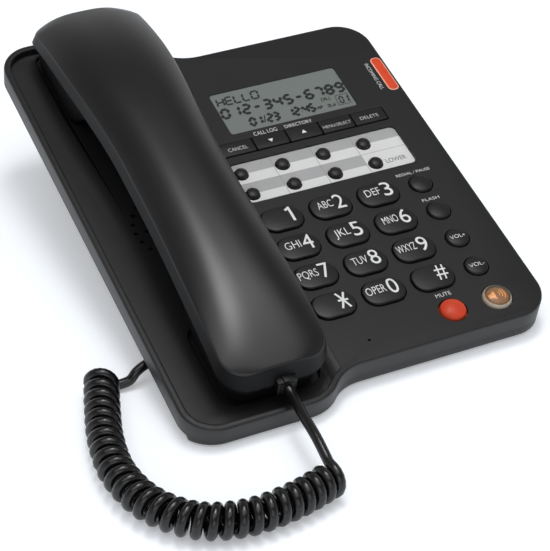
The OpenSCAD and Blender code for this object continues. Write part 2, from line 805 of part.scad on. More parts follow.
// Outline of the lower cover on the table, t inside its wall
module tub_plan(t) {
  slant = unit([tub_rear_left - tub_rear_right, tub_step_run]);
  shift = t * (1 - slant[1]) / slant[0];
  y0 = rim_front_y - tub_reach;
  yl = tub_rear_left - t;
  yr = tub_rear_right - t;
  xa = tub_step_x - shift;
  xb = xa - tub_step_run;
  a = [tub_left(y0) + t, y0];
  b = [-tub_left(y0) - t, y0];
  c = [-tub_left(yr) - t, yr];
  d = [xa, yr];
  e = [xb, yl];
  f = [tub_left(yl) + t, yl];
  n = 6;
  polygon(concat(
    [a, b],
    corner_arc(b, c, d, tub_r - t, n),
    corner_arc(c, d, e, tub_r + t, n),
    corner_arc(d, e, f, tub_r - t, n),
    corner_arc(e, f, a, tub_r - t, n)
  ));
}

// Room inside the lower cover, t inside its walls
module tub_room(low_z, t, top_h) {
  intersection() {
    translate([0, 0, low_z]) linear_extrude(body_w) tub_plan(t);
    on_panel() plan_slab(-body_w, top_h, t);
  }
}

// Lower cover: lip under the skirt, tapered tub, posts and jack openings
module base_bottom_cover() color(black_case) difference() {
  union() {
    difference() {
      union() {
        intersection() {
          on_panel() plan_slab(-slab_h, -skirt_h);
          translate([-body_w, -cradle_len, foot_h]) cube([2 * body_w, 2 * cradle_len, body_w]);
        }
        tub_room(foot_h, 0, -slab_h + eps);
      }
      tub_room(tub_floor_z, wall, 0);
    }
    for (s = screws) translate([s[0], s[1], foot_h]) cylinder(r = post_r, h = split_z(s) - foot_h);
  }
  for (s = screws) translate([s[0], s[1], foot_h - eps]) {
    cylinder(r = screw_head_r + screw_clear, h = screw_sink + screw_head_h + face_gap);
    cylinder(r = screw_r + screw_clear, h = body_w);
  }
  translate([base_jack_x, base_jack_y, base_jack_z])
    cube([6 * wall, 2 * (jack_half() + plug_clear), 2 * (jack_up() + plug_clear)], center = true);
  translate([line_jack_x, tub_rear_right, line_jack_z])
    cube([2 * (line_half() + plug_clear), 4 * wall, 2 * (line_up() + plug_clear)], center = true);
  ringer_slot();
}

// Half sizes of the jacks' housings
function jack_half() = plug_w / 2 + plug_clear + jack_wall;
function jack_up() = plug_t / 2 + plug_clear + jack_wall - jack_thin;
function line_half() = line_w / 2 + jack_wall;
function line_up() = line_t / 2 + jack_wall;

// Places things square to the lower cover's left wall at the ringer switch
module at_switch() {
  translate([tub_left(switch_y), switch_y, switch_z]) rotate([0, 0, -tub_side_turn]) children();
}

// Slot that the ringer switch slides in
module ringer_slot() {
  at_switch() translate([-2 * wall, -switch_nub / 2 - seat_gap, -switch_nub / 2 - seat_gap])
    cube([4 * wall, switch_nub + switch_travel + 2 * seat_gap, switch_nub + 2 * seat_gap]);
}

// Four round feet under the lower cover
module rubber_feet() color(rubber_grey)
  for (f = feet) translate([f[0], f[1], 0]) cylinder(r = foot_r, h = foot_h);

// Screws that hold the two covers together
module case_screws() color(steel)
  for (s = screws) translate([s[0], s[1], foot_h + screw_sink]) {
    cylinder(r = screw_head_r, h = screw_head_h);
    cylinder(r = screw_r, h = split_z(s) - foot_h - screw_sink + bite(s));
  }

// Circuit board under the keys, with room for one screw boss
module main_board() color(board_green) difference() {
  on_panel() translate([board_x0, board_q0, board_top - board_t])
    cube([board_x1 - board_x0, board_q1 - board_q0, board_t]);
  for (s = screws) translate([s[0], s[1], 0]) cylinder(r = boss_r + boss_clear, h = body_w);
}

// Rubber mat with a dome under every key
module key_mat() color(mat_grey) difference() {
  on_panel() {
    translate([board_x0 + mat_in, board_q0 + mat_in, board_top])
      cube([board_x1 - board_x0 - 2 * mat_in, menu_q0 + menu_h + mat_in - board_q0, mat_t]);
    translate([0, 0, board_top]) {
      for (i = [0:11]) at_dial(i) cylinder(r = dome_r, h = dome_top - board_top);
      for (i = [0:3]) at_func(i) cylinder(r = dome_r, h = dome_top - board_top);
      for (i = [0:7]) at_mem(i) cylinder(r = dome_r, h = dome_top - board_top);
      for (i = [0:menu_n - 1]) at_menu(i) cylinder(r = dome_r, h = dome_top - board_top);
      at_mute() cylinder(r = dome_r, h = dome_top - board_top);
      at_speaker_key() cylinder(r = dome_r, h = dome_top - board_top);
    }
  }
  for (s = screws) translate([s[0], s[1], 0]) cylinder(r = boss_r + boss_clear, h = body_w);
}

// Clear window a little under the panel
module lcd_window() color(clear_tint) on_panel()
  translate([lcd_x, lcd_q, -lcd_sink - window_t])
    linear_extrude(window_t) pad(lcd_w - 2 * window_fit, lcd_h - 2 * window_fit, lcd_r - window_fit);

// Display module under the window
module lcd_module() color(glass_grey) on_panel() {
  w = lcd_w + 2 * lcd_module_over;
  h = lcd_h + 2 * lcd_module_over;
  translate([lcd_x - w / 2, lcd_q - h / 2, lcd_module_low])
    cube([w, h, -top_t - face_gap - lcd_module_low]);
}

// Printed card round the memory buttons
module memory_card() color(card_white) on_panel()
  translate([0, 0, -card_pocket]) linear_extrude(card_t) difference() {
    card_plan(0);
    for (i = [0:7]) at_mem(i) circle(mem_r + key_clear);
  }

// Clear cover over the card
module card_cover() color(clear_tint) on_panel()
  translate([0, 0, card_t - card_pocket]) linear_extrude(card_cover_t) difference() {
    card_plan(0);
    for (i = [0:7]) at_mem(i) circle(mem_r + key_clear);
  }

// Lens of the ring lamp, at the panel's right edge
module ring_lamp_lens() color(lamp_red) on_panel()
  translate([0, 0, -lamp_depth]) linear_extrude(lamp_depth + lamp_rise) lamp_plan(0);

// Loudspeaker: frame, cone and magnet under the cradle
module base_speaker() color(rubber_grey) on_panel()
  translate([handset_x, grille_q, speaker_front - speaker_deep]) difference() {
    union() {
      cylinder(r = magnet_r, h = magnet_h);
      translate([0, 0, speaker_deep - past - basket_h]) cylinder(r1 = basket_r, r2 = speaker_cone_r, h = basket_h);
      translate([0, 0, speaker_deep - speaker_edge_t]) cylinder(r = speaker_cone_r, h = speaker_edge_t);
    }
    translate([0, 0, speaker_deep - cone_deep])
      cylinder(r1 = cone_low_r, r2 = speaker_cone_r - cone_rim, h = cone_deep + eps);
  }

// Microphone of the speakerphone behind its hole
module desk_mic() color(steel) on_panel()
  translate([mic_x, mic_q, mat_top + face_gap]) cylinder(r = mic_r, h = -top_t - 2 * face_gap - mat_top);

// Socket for the line, open to the rear
module line_jack() color(black_key) difference() {
  translate([line_jack_x - line_half(), tub_rear_right - line_deep - 2 * jack_wall, line_jack_z - line_up()])
    cube([2 * line_half(), line_deep + 2 * jack_wall, 2 * line_up()]);
  translate([line_jack_x - line_w / 2, tub_rear_right - line_deep, line_jack_z - line_t / 2])
    cube([line_w, line_deep + past, line_t]);
}

// Socket for the handset cord, open to the left
module handset_jack() color(black_key) difference() {
  translate([base_jack_x, base_jack_y - jack_half(), base_jack_z - jack_up()])
    cube([plug_len + jack_wall, 2 * jack_half(), 2 * jack_up()]);
  translate([base_jack_x - past, base_jack_y - plug_w / 2 - plug_clear, base_jack_z - plug_t / 2 - plug_clear])
    cube([plug_len + past, plug_w + 2 * plug_clear, plug_t + 2 * plug_clear]);
}

// Plunger that the handset holds down
module hook_plunger() color(black_key) on_panel()
  translate([handset_x - hook_w / 2, hook_q - hook_len / 2, -well_d - hook_deep]) {
    cube([hook_w, hook_len, hook_deep]);
    translate([-hook_foot_w, -hook_foot_w, 0])
      cube([hook_w + 2 * hook_foot_w, hook_len + 2 * hook_foot_w, hook_foot_t]);
  }

// Slide of the ringer switch: a nub outside and a plate inside the wall
module ringer_switch() color(black_key) at_switch() {
  translate([-switch_out, -switch_nub / 2, -switch_nub / 2])
    cube([switch_out + wall + switch_gap + eps, switch_nub, switch_nub]);
  translate([wall + switch_gap, -switch_nub, -switch_nub])
    cube([switch_plate_t, 2 * switch_nub, 2 * switch_nub]);
}

// Key of any outline: a crowned cap over a flange that stops under the panel
module key_body(rise, crown_r) {
  intersection() {
    translate([0, 0, flange_low]) linear_extrude(rise - flange_low) children(0);
    translate([0, 0, rise - crown_r]) sphere(crown_r, $fn = 96);
  }
  translate([0, 0, flange_low]) linear_extrude(flange_t) children(1);
}

// Dial key number i, counted along the rows
module dial_key(i) color(black_key) on_panel() at_dial(i) key_body(key_rise, dial_crown_r) {
  pad(dial_w, dial_h, dial_r);
  pad(dial_w + 2 * flange_w, dial_h + 2 * flange_w, dial_r + flange_w);
}

// Round function key number i, counted from the display
module func_key(i) color(black_key) on_panel() at_func(i) key_body(func_rise, func_crown_r) {
  circle(func_r);
  circle(func_r + flange_w);
}

// Round memory button number i, counted along the rows
module mem_button(i) color(black_key) on_panel() at_mem(i) key_body(mem_rise, mem_crown_r) {
  circle(mem_r);
  circle(mem_r + flange_w);
}

// Flat menu key number i, counted from the left
module menu_key(i) color(black_key) on_panel() at_menu(i) {
  translate([0, 0, flange_low]) linear_extrude(menu_rise - flange_low)
    pad(menu_pitch - menu_gap, menu_h, menu_r);
  translate([-menu_pitch / 4, -menu_h / 2 - flange_w, flange_low])
    cube([menu_pitch / 2, menu_h + 2 * flange_w, flange_t]);
}

module mute_key() color(mute_red) on_panel() at_mute() key_body(mute_rise, mute_crown_r) {
  circle(mute_r);
  circle(mute_r + flange_w);
}

module speaker_key() color(amber) on_panel() at_speaker_key() key_body(speaker_rise, speaker_crown_r) {
  circle(speaker_r);
  circle(speaker_r + flange_w);
}

// Places things on the handset, square to the panel
module on_handset() {
  on_panel() translate([handset_x, 0, 0]) children();
}

// Opening for the handset's plug through the mouth end, from a height up to the plug's top
module hs_jack_hole(low) {
  translate([hs_jack_x - plug_w / 2 - plug_clear, hs_front - past, low])
    cube([plug_w + 2 * plug_clear, hs_socket_back + 2 * past, hs_jack_z + plug_t / 2 + plug_clear - low]);
}

// Room for the socket in the face shell's chin
module hs_socket_room() {
  translate([hs_jack_x - jack_half() - seat_gap, hs_front + hs_socket_back - seat_gap, hs_jack_z - jack_up() - seat_gap])
    cube([2 * (jack_half() + seat_gap), plug_len + 2 * seat_gap, 2 * jack_up() + past]);
}

// Back shell of the handset: crowned, waisted and arched
module handset_back() color(black_handset) on_handset() difference() {
  faces = loft_faces(hs_n + 1, hs_crown_n + 3);
  polyhedron([for (y = hs_rows(0)) each back_ring(y, 0)], faces, 4);
  polyhedron([for (y = hs_rows(shell_t)) each back_ring(y, shell_t)], faces, 4);
  hs_jack_hole(hs_jack_z - plug_t / 2 - plug_clear);
}

// Face shell of the handset: hollow under the grip, with the ear and mouth ends below it
module handset_face() color(black_handset) on_handset() difference() {
  polyhedron([for (y = hs_rows(0)) each face_ring(y, 0)], loft_faces(hs_n + 1, 8), 4);
  polyhedron([for (y = hs_rows(face_end)) each face_ring(y, shell_t)], loft_faces(hs_n + 1, 8), 4);
  hs_jack_hole(-well_d);
  hs_socket_room();
  translate([0, ear_q, -hs_lump]) for (k = [0:2], i = [0:max(1, 6 * k) - 1])
    rotate([0, 0, 360 * i / max(1, 6 * k)]) translate([ear_hole_pitch * k, 0, 0])
      cylinder(r = ear_hole_r, h = 4 * shell_t, center = true, $fn = 16);
  translate([0, mouth_q, -hs_lump]) cylinder(r = ear_hole_r, h = 4 * shell_t, center = true, $fn = 16);
}

// Earpiece behind the ear holes
module receiver_capsule() color(steel) on_handset()
  translate([0, ear_q, shell_t + seat_gap - hs_lump]) cylinder(r = capsule_r, h = capsule_h);

// Microphone behind the mouth hole
module handset_mic() color(steel) on_handset()
  translate([0, mouth_q, shell_t + seat_gap - hs_lump]) cylinder(r = hs_mic_r, h = hs_mic_h);

// Socket in the handset's mouth end
module handset_socket() color(black_key) on_handset() difference() {
  translate([hs_jack_x - jack_half(), hs_front + hs_socket_back, hs_jack_z - jack_up()])
    cube([2 * jack_half(), plug_len, 2 * jack_up()]);
  translate([hs_jack_x - plug_w / 2 - plug_clear, hs_front, hs_jack_z - plug_t / 2 - plug_clear])
    cube([plug_w + 2 * plug_clear, plug_len, plug_t + 2 * plug_clear]);
}

// Modular plug along +Y with its latch on top
module plug_body() {
  translate([-plug_w / 2, -plug_out, -plug_t / 2]) cube([plug_w, plug_len, plug_t]);
}

module handset_plug() color(black_cord) on_handset() translate([hs_jack_x, hs_front, hs_jack_z]) plug_body();

module base_plug() color(black_cord)
  translate([base_jack_x, base_jack_y, base_jack_z]) rotate([0, 0, -90]) plug_body();

// Tube of the cord along a path, with one up direction for every point
module cord_tube(path, ups, sides) {
  polyhedron([for (i = [0:len(path) - 1]) each ring_at(path, i, cord_d / 2, sides, ups[i])],
             loft_faces(len(path), sides), 4);
}

// Path with a ring every few millimetres between its hand-set points
function fine(path) = [for (k = [0:0.5:len(path) - 1]) curve_at(path, k)];

// Same up direction for every point of a path
function level(path) = [for (p = path) [0, 0, 1]];

module base_lead() color(black_cord)
  cord_tube(fine(base_lead_path), level(fine(base_lead_path)), lead_sides);
module handset_lead() color(black_cord)
  cord_tube(fine(handset_lead_path), level(fine(handset_lead_path)), lead_sides);
module curly_cord() color(black_cord) cord_tube(curl_path, curl_out, curl_sides);

dial_names = [
  "key_1", "key_2", "key_3", "key_4", "key_5", "key_6", "key_7", "key_8", "key_9",
  "key_star", "key_0", "key_hash"
];
func_names = ["redial_key", "flash_key", "volume_up_key", "volume_down_key"];

base_top_cover();
base_bottom_cover();
rubber_feet();
case_screws();
main_board();
key_mat();
lcd_window();
lcd_module();
memory_card();
card_cover();
ring_lamp_lens();
base_speaker();
desk_mic();
line_jack();
handset_jack();
hook_plunger();
ringer_switch();
for (i = [0:11]) dial_key(i);
for (i = [0:7]) mem_button(i);
for (i = [0:menu_n - 1]) menu_key(i);
for (i = [0:3]) func_key(i);
mute_key();
speaker_key();
handset_back();
handset_face();
receiver_capsule();
handset_mic();
handset_socket();
base_plug();
base_lead();
curly_cord();
handset_lead();
handset_plug();
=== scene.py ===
"""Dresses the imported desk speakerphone: covers, handset, keys, display, printed card, cord and studio."""

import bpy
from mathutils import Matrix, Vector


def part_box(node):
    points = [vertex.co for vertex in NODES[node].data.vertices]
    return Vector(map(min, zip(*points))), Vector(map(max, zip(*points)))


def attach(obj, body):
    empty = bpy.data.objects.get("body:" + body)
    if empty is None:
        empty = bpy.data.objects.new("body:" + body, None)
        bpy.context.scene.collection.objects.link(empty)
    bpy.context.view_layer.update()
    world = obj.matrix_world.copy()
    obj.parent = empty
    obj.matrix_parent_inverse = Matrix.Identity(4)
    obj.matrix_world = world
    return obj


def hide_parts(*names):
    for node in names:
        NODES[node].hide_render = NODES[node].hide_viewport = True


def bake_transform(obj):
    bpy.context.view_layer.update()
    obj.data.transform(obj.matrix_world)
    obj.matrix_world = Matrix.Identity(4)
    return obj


bl_info = {
    "name": "Desk Speakerphone",
    "version": (1, 0, 0),
    "blender": (4, 5, 0),
    "location": "View3D > Sidebar > Speakerphone",
    "description": "Models and finishes the pieces of a corded desk speakerphone round its packed solids",
    "category": "Object",
}

from math import atan2, copysign, cos, floor, hypot, pi, radians, sin, sqrt

import bmesh
import bpy
from bpy.props import FloatProperty, FloatVectorProperty, PointerProperty
from mathutils import Matrix, Vector

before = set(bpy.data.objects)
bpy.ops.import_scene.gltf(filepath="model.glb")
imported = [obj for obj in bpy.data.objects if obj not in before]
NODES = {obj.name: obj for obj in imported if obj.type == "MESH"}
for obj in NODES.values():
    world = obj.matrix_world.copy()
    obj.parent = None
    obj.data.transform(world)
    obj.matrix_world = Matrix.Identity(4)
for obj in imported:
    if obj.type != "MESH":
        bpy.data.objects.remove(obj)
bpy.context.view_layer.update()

MM = 0.001

# Frame of the sloped panel: x across, q along the slope, h square to it, in millimetres
PANEL_TILT = radians(13)
PANEL_Y0 = -0.9223
PANEL_Z0 = 33.5698
PANEL = Matrix.Translation((0, PANEL_Y0 * MM, PANEL_Z0 * MM)) @ Matrix.Rotation(PANEL_TILT, 4, "X")
HANDSET_X = -40
HANDSET = PANEL @ Matrix.Translation((HANDSET_X * MM, 0, 0))

# Rows and columns of the keys on the panel
DIAL_X, DIAL_PX = -3.25, 21
DIAL_Q, DIAL_PY = -20.1, 15.75
FUNC_X = 57.85
LOW_ROW_Q = -84.25
CARD_X0 = -11.3
MEM_X, MEM_PX = -8.1, 18.1
MEM_Q, MEM_PY = 8.5, 11.6
MENU_Q, MENU_H, MENU_PITCH, MENU_GAP = 22, 7, 14.78, 0.45
LCD_X, LCD_Q = 25.65, 42.35
LAMP_X, LAMP_Q = 73.45, 44
SLOPE_X = -12.9
GRILLE_Q, GRILLE_R = -6, 21

# Layers under the panel
FLANGE_LOW, FLANGE_T, FLANGE_W = -3.2, 0.9, 0.9
DISPLAY_TOP, WINDOW_TOP = -0.32, -0.06
LCD_W, LCD_H, LCD_R = 57, 24.5, 1.2
CARD_TOP, CARD_GAP = -0.8, 0.06


def length_value(name, description, default):
    return FloatProperty(name=name, description=description, default=default, unit="LENGTH")


def colour_value(name, description, default):
    return FloatVectorProperty(name=name, description=description, default=default, subtype="COLOR")


class PhoneSizes(bpy.types.PropertyGroup):
    """Sizes of the finished pieces."""

    rim_round: length_value("Rim rounding", "Rounding of the base's outer rim", 0.0009)
    edge_round: length_value("Edge rounding", "Rounding of the moulded inner edges", 0.0005)
    lower_round: length_value("Lower cover rounding", "Rounding of the lower cover above its floor", 0.00022)
    key_round: length_value("Key rounding", "Rounding of a dial key's rim", 0.0006)
    handset_round: length_value("Handset rounding", "Rounding of the back shell's edge", 0.0006)
    parting: length_value("Parting line", "Half of the groove between the handset's shells", 0.00015)
    print_height: length_value("Print height", "How far printed ink stands on its surface", 0.00003)
    cord_width: length_value("Cord thickness", "Thickness of the curly cord", 0.0041)


class PhoneColours(bpy.types.PropertyGroup):
    """Colours of the finishes."""

    case: colour_value("Case", "Grained plastic of the base", (0.006, 0.0059, 0.0066))
    keys: colour_value("Keys", "Plastic of the black keys", (0.0052, 0.0052, 0.0056))
    handset: colour_value("Handset", "Satin plastic of the handset", (0.0052, 0.0052, 0.0056))
    cord: colour_value("Cord", "Glossy jacket of the cord", (0.0035, 0.0035, 0.0038))
    ink: colour_value("Ink", "White print on keys and panel", (0.78, 0.78, 0.79))
    display: colour_value("Display", "Grey of the display", (0.2, 0.225, 0.21))
    mute: colour_value("Mute key", "Red of the mute key", (0.58, 0.05, 0.014))
    amber: colour_value("Speaker key", "Amber under the speaker key", (0.62, 0.22, 0.022))
    lamp: colour_value("Ring lamp", "Orange of the ring lamp's lens", (0.66, 0.05, 0.006))


def sizes():
    return bpy.context.scene.phone_sizes


def colours():
    return bpy.context.scene.phone_colours


# Selecting and editing


def clear_selection():
    """Leaves edit mode and selects nothing."""
    if bpy.context.object and bpy.context.object.mode != "OBJECT":
        bpy.ops.object.mode_set(mode="OBJECT")
    bpy.ops.object.select_all(action="DESELECT")


def activate(obj, *others):
    clear_selection()
    for o in (obj, *others):
        o.select_set(True)
    bpy.context.view_layer.objects.active = obj


def edit(obj):
    """Goes into edit mode with every face of obj selected."""
    activate(obj)
    bpy.ops.object.mode_set(mode="EDIT")
    bpy.ops.mesh.select_mode(type="FACE")
    bpy.ops.mesh.select_all(action="SELECT")


def done():
    bpy.ops.object.mode_set(mode="OBJECT")
    return bpy.context.object


def lift(z):
    bpy.ops.mesh.extrude_region_move(TRANSFORM_OT_translate={"value": (0, 0, z * MM)})


def extruded(obj, height):
    """Raises every face of obj by a height, and mends the result."""
    edit(obj)
    lift(height)
    done()
    return mend(obj)


def inset(width):
    bpy.ops.mesh.inset(thickness=width * MM)


def inset_to(depths):
    """Insets the selected faces step by step, to depths counted from their edge."""
    depth = 0
    for d in depths:
        inset(d - depth)
        depth = d


def pick_faces(obj, rule):
    """Goes into edit mode with only the faces selected for which the rule holds."""
    edit(obj)
    bpy.ops.mesh.select_all(action="DESELECT")
    done()
    for f in obj.data.polygons:
        f.select = rule(f)
    bpy.ops.object.mode_set(mode="EDIT")


def apply_modifier(obj, kind, **settings):
    activate(obj)
    modifier = obj.modifiers.new(kind.title(), kind)
    for key, value in settings.items():
        setattr(modifier, key, value)
    bpy.ops.object.modifier_apply(modifier=modifier.name)


def bevel(obj, width, segments=2):
    apply_modifier(obj, "BEVEL", width=width * MM, segments=segments, limit_method="ANGLE")


def cut(obj, cutter):
    """Takes the cutter's shape out of obj, and removes the cutter."""
    apply_modifier(obj, "BOOLEAN", operation="DIFFERENCE", object=cutter, solver="EXACT", use_self=True)
    bpy.data.objects.remove(cutter)
    if not obj.data.polygons:
        raise RuntimeError(f"nothing is left of {obj.name} after a cut")
    return obj


def mend(obj, distance=1e-6):
    """Merges doubled points and turns the faces outwards."""
    edit(obj)
    bpy.ops.mesh.remove_doubles(threshold=distance)
    bpy.ops.mesh.normals_make_consistent(inside=False)
    return done()


def shift(x, y, z=0):
    """Move by a distance in millimetres."""
    return Matrix.Translation((x * MM, y * MM, z * MM))


def place(obj, matrix):
    obj.data.transform(matrix)
    obj.data.update()
    return obj


def smooth(obj, degrees=32):
    activate(obj)
    bpy.ops.object.shade_smooth_by_angle(angle=radians(degrees))
    return obj


def twin(obj, name):
    """Copy of a piece with its own mesh."""
    copy = obj.copy()
    copy.data = obj.data.copy()
    copy.name = copy.data.name = name
    bpy.context.scene.collection.objects.link(copy)
    return copy


def join(first, *others):
    activate(first, *others)
    bpy.ops.object.join()
    return first


def mesh_object(name, bm):
    """Puts what was built in bm into the scene as a piece."""
    mesh = bpy.data.meshes.new(name)
    bm.to_mesh(mesh)
    bm.free()
    obj = bpy.data.objects.new(name, mesh)
    bpy.context.scene.collection.objects.link(obj)
    return obj


FINISHES = {}


def paint(obj, *finishes, pick=None):
    """Gives a piece its finishes by name, and each face the one whose number pick(face) gives."""
    obj.data.materials.clear()
    for name in finishes:
        obj.data.materials.append(FINISHES[name])
    if pick:
        for f in obj.data.polygons:
            f.material_index = int(pick(f))
    return obj


def keep(node, finish):
    """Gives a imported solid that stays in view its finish."""
    paint(NODES[node], finish)


def dress(obj, finish, body, slot, *nodes):
    """Gives a piece its finish, its body and the solids that it stands for. The slot is not used."""
    if finish:
        paint(obj, finish)
    obj.data.name = obj.name
    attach(obj, body)
    if nodes:
        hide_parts(*nodes)
    return obj


def solid_copy(node, name):
    """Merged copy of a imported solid, with its flat faces in one piece."""
    copy = twin(NODES[node], name)
    copy.parent = None
    for key in list(copy.keys()):
        del copy[key]
    copy.data.materials.clear()
    edit(copy)
    bpy.ops.mesh.remove_doubles(threshold=2e-6)
    bpy.ops.mesh.customdata_custom_splitnormals_clear()
    bpy.ops.mesh.dissolve_limited(angle_limit=radians(0.6))
    return done()


def bevel_edges(obj, width_of, segments=3):
    """Rounds the edges for which width_of(edge) gives a width in metres."""
    widest = 0
    bm = bmesh.new()
    bm.from_mesh(obj.data)
    layer = bm.edges.layers.float.new("bevel_weight_edge")
    widths = {}
    for e in bm.edges:
        if len(e.link_faces) == 2 and e.is_convex and e.calc_face_angle() > radians(35):
            widths[e] = width_of(e)
            widest = max(widest, widths[e])
    for e, w in widths.items():
        e[layer] = w / widest
    bm.to_mesh(obj.data)
    bm.free()
    apply_modifier(
        obj, "BEVEL", limit_method="WEIGHT", width=widest, segments=segments, use_clamp_overlap=False,
        miter_outer="MITER_ARC", harden_normals=False,
    )
    return obj


# Primitives


def disc(name, radius, z, points):
    clear_selection()
    bpy.ops.mesh.primitive_circle_add(
        vertices=points, radius=radius * MM / cos(pi / points), fill_type="NGON", rotation=(0, 0, pi / points)
    )
    obj = bpy.context.object
    bpy.ops.object.transform_apply()
    obj.name = name
    return place(obj, shift(0, 0, z))


def plate(name, w, h, r, z, arc=10, side=6):
    """Rounded rectangle: a disc whose points are spread over four arcs and four straight sides."""
    if w == h == 2 * r:
        return disc(name, r, z, 4 * arc)
    obj = disc(name, r, z, 4 * (arc + side))
    cx, cy = w / 2 - r, h / 2 - r
    corners = [Vector(c) for c in ((cx, cy), (-cx, cy), (-cx, -cy), (cx, -cy))]
    for i, v in enumerate(obj.data.vertices):
        quarter, k = divmod(i, arc + side)
        turn = pi / 2 * (quarter + min(k, arc) / arc)
        rim = Vector((cos(turn), sin(turn))) * r
        here, ahead = corners[quarter], corners[(quarter + 1) % 4]
        spot = here.lerp(ahead, max(0, k - arc) / side) + rim
        v.co.x, v.co.y = spot * MM
    return mend(obj, 1e-8)


def block(name, low, high):
    """Box between two corners, in millimetres."""
    clear_selection()
    bpy.ops.mesh.primitive_cube_add(size=1)
    obj = bpy.context.object
    lo, hi = Vector(low) * MM, Vector(high) * MM
    obj.data.transform(Matrix.Translation((lo + hi) / 2) @ Matrix.Diagonal((*(hi - lo), 1)))
    obj.name = name
    return obj


def edge_depth(x, y, w, h, r):
    """Distance from a point in to the edge of a rounded rectangle."""
    a, b = abs(x) - w / 2 + r, abs(y) - h / 2 + r
    return r - min(max(a, b), 0) - hypot(max(a, 0), max(b, 0))


def round_loss(d, r):
    """How far a rounded rim of radius r falls at a distance d from its edge."""
    return 0 if d >= r else r - sqrt(max(0, r * r - (r - d) ** 2))


def ramp(t):
    """Smooth step from 0 to 1."""
    k = min(1, max(0, t))
    return k * k * (3 - 2 * k)


def crown_drop(x, y, radius):
    return radius - sqrt(radius * radius - x * x - y * y) if radius else 0


def rim_steps(r, n=5):
    return [r * (1 - cos(pi / 2 * i / n)) for i in range(1, n + 1)]


def crowned(rise, radius=0):
    """Height of a key's top, as a function of the place on it."""
    return lambda x, y: rise - crown_drop(x, y, radius)


# Steps between the rings of a key's crown, how far in they go, and when heights count as the same
CROWN_STEP, CROWN_REACH, SAME = 0.8, 0.86, 0.001


def shape_top(obj, rise, height):
    """Moves the points that lie at a rise to height(x, y), and mends the piece."""
    for v in obj.data.vertices:
        x, y, z = v.co / MM
        if z > rise - SAME:
            v.co.z = height(x, y) * MM
    return mend(obj)


def key_cap(name, w, h, r, rise, crown_r, rim, arc=11):
    """Key on its flange: extruded and inset from a plate, then crowned."""
    obj = plate(name, w + 2 * FLANGE_W, h + 2 * FLANGE_W, r + FLANGE_W, FLANGE_LOW, arc)
    edit(obj)
    lift(FLANGE_T)
    inset(FLANGE_W)
    lift(rise - FLANGE_LOW - FLANGE_T)
    steps = rim_steps(rim)
    while steps[-1] + CROWN_STEP < r * CROWN_REACH:
        steps.append(steps[-1] + CROWN_STEP)
    inset_to(steps)
    done()
    top = crowned(rise, crown_r)
    return shape_top(obj, rise, lambda x, y: top(x, y) - round_loss(edge_depth(x, y, w, h, r), rim))


# Print


# Height of the font's capitals, and the longest edge, in metres, of print laid on a crown
CAPITAL, PRINT_EDGE = 0.7, 0.0011


def outline_text(words, height, width, bold):
    """Words as a flat mesh, centred, with capitals of a height and a whole width in millimetres."""
    clear_selection()
    bpy.ops.object.text_add()
    obj = bpy.context.object
    obj.data.body = words
    obj.data.offset = bold
    obj.data.extrude = 0.01
    obj.data.resolution_u = 5
    bpy.ops.object.convert(target="MESH")
    obj = bpy.context.object
    xs = [v.co.x for v in obj.data.vertices]
    ys = [v.co.y for v in obj.data.vertices]
    tall = max(ys) - min(ys) if len(words) == 1 else CAPITAL
    mid = (max(ys) + min(ys)) / 2 if len(words) == 1 else CAPITAL / 2
    sx = width / (max(xs) - min(xs)) if width else height / tall
    cx = (max(xs) + min(xs)) / 2
    for v in obj.data.vertices:
        v.co.x = (v.co.x - cx) * sx * MM
        v.co.y = (v.co.y - mid) * height / tall * MM
    return obj


def ink(words, x, y, height, width, drop, bold=0.0, turn=0):
    """Words printed on a surface that lies drop(x, y) millimetres high, as a thin closed layer."""
    obj = outline_text(words, height, width, bold)
    place(obj, shift(x, y) @ Matrix.Rotation(turn, 4, "Z"))
    return lay_print(obj, drop)


def lay_print(obj, drop):
    """Cuts a flat print into small faces and lays it on a surface."""
    edit(obj)
    bpy.ops.mesh.remove_doubles(threshold=1e-7)
    bpy.ops.mesh.quads_convert_to_tris()
    done()
    for _ in range(3):
        activate(obj)
        for e in obj.data.edges:
            a, b = (obj.data.vertices[i].co for i in e.vertices)
            e.select = hypot(a.x - b.x, a.y - b.y) > PRINT_EDGE
        bpy.ops.object.mode_set(mode="EDIT")
        bpy.ops.mesh.select_mode(type="EDGE")
        bpy.ops.mesh.subdivide(number_cuts=1)
        bpy.ops.mesh.select_all(action="SELECT")
        bpy.ops.mesh.quads_convert_to_tris()
        bpy.ops.mesh.select_all(action="DESELECT")
        done()
    top = sizes().print_height
    for v in obj.data.vertices:
        v.co.z = drop(v.co.x / MM, v.co.y / MM) * MM + (top if v.co.z > 0 else -top)
    return obj


# Materials


def put(node, **values):
    """Sets a node's sockets by name, with _ for a space."""
    for key, value in values.items():
        node.inputs[key.replace("_", " ")].default_value = value
    return node


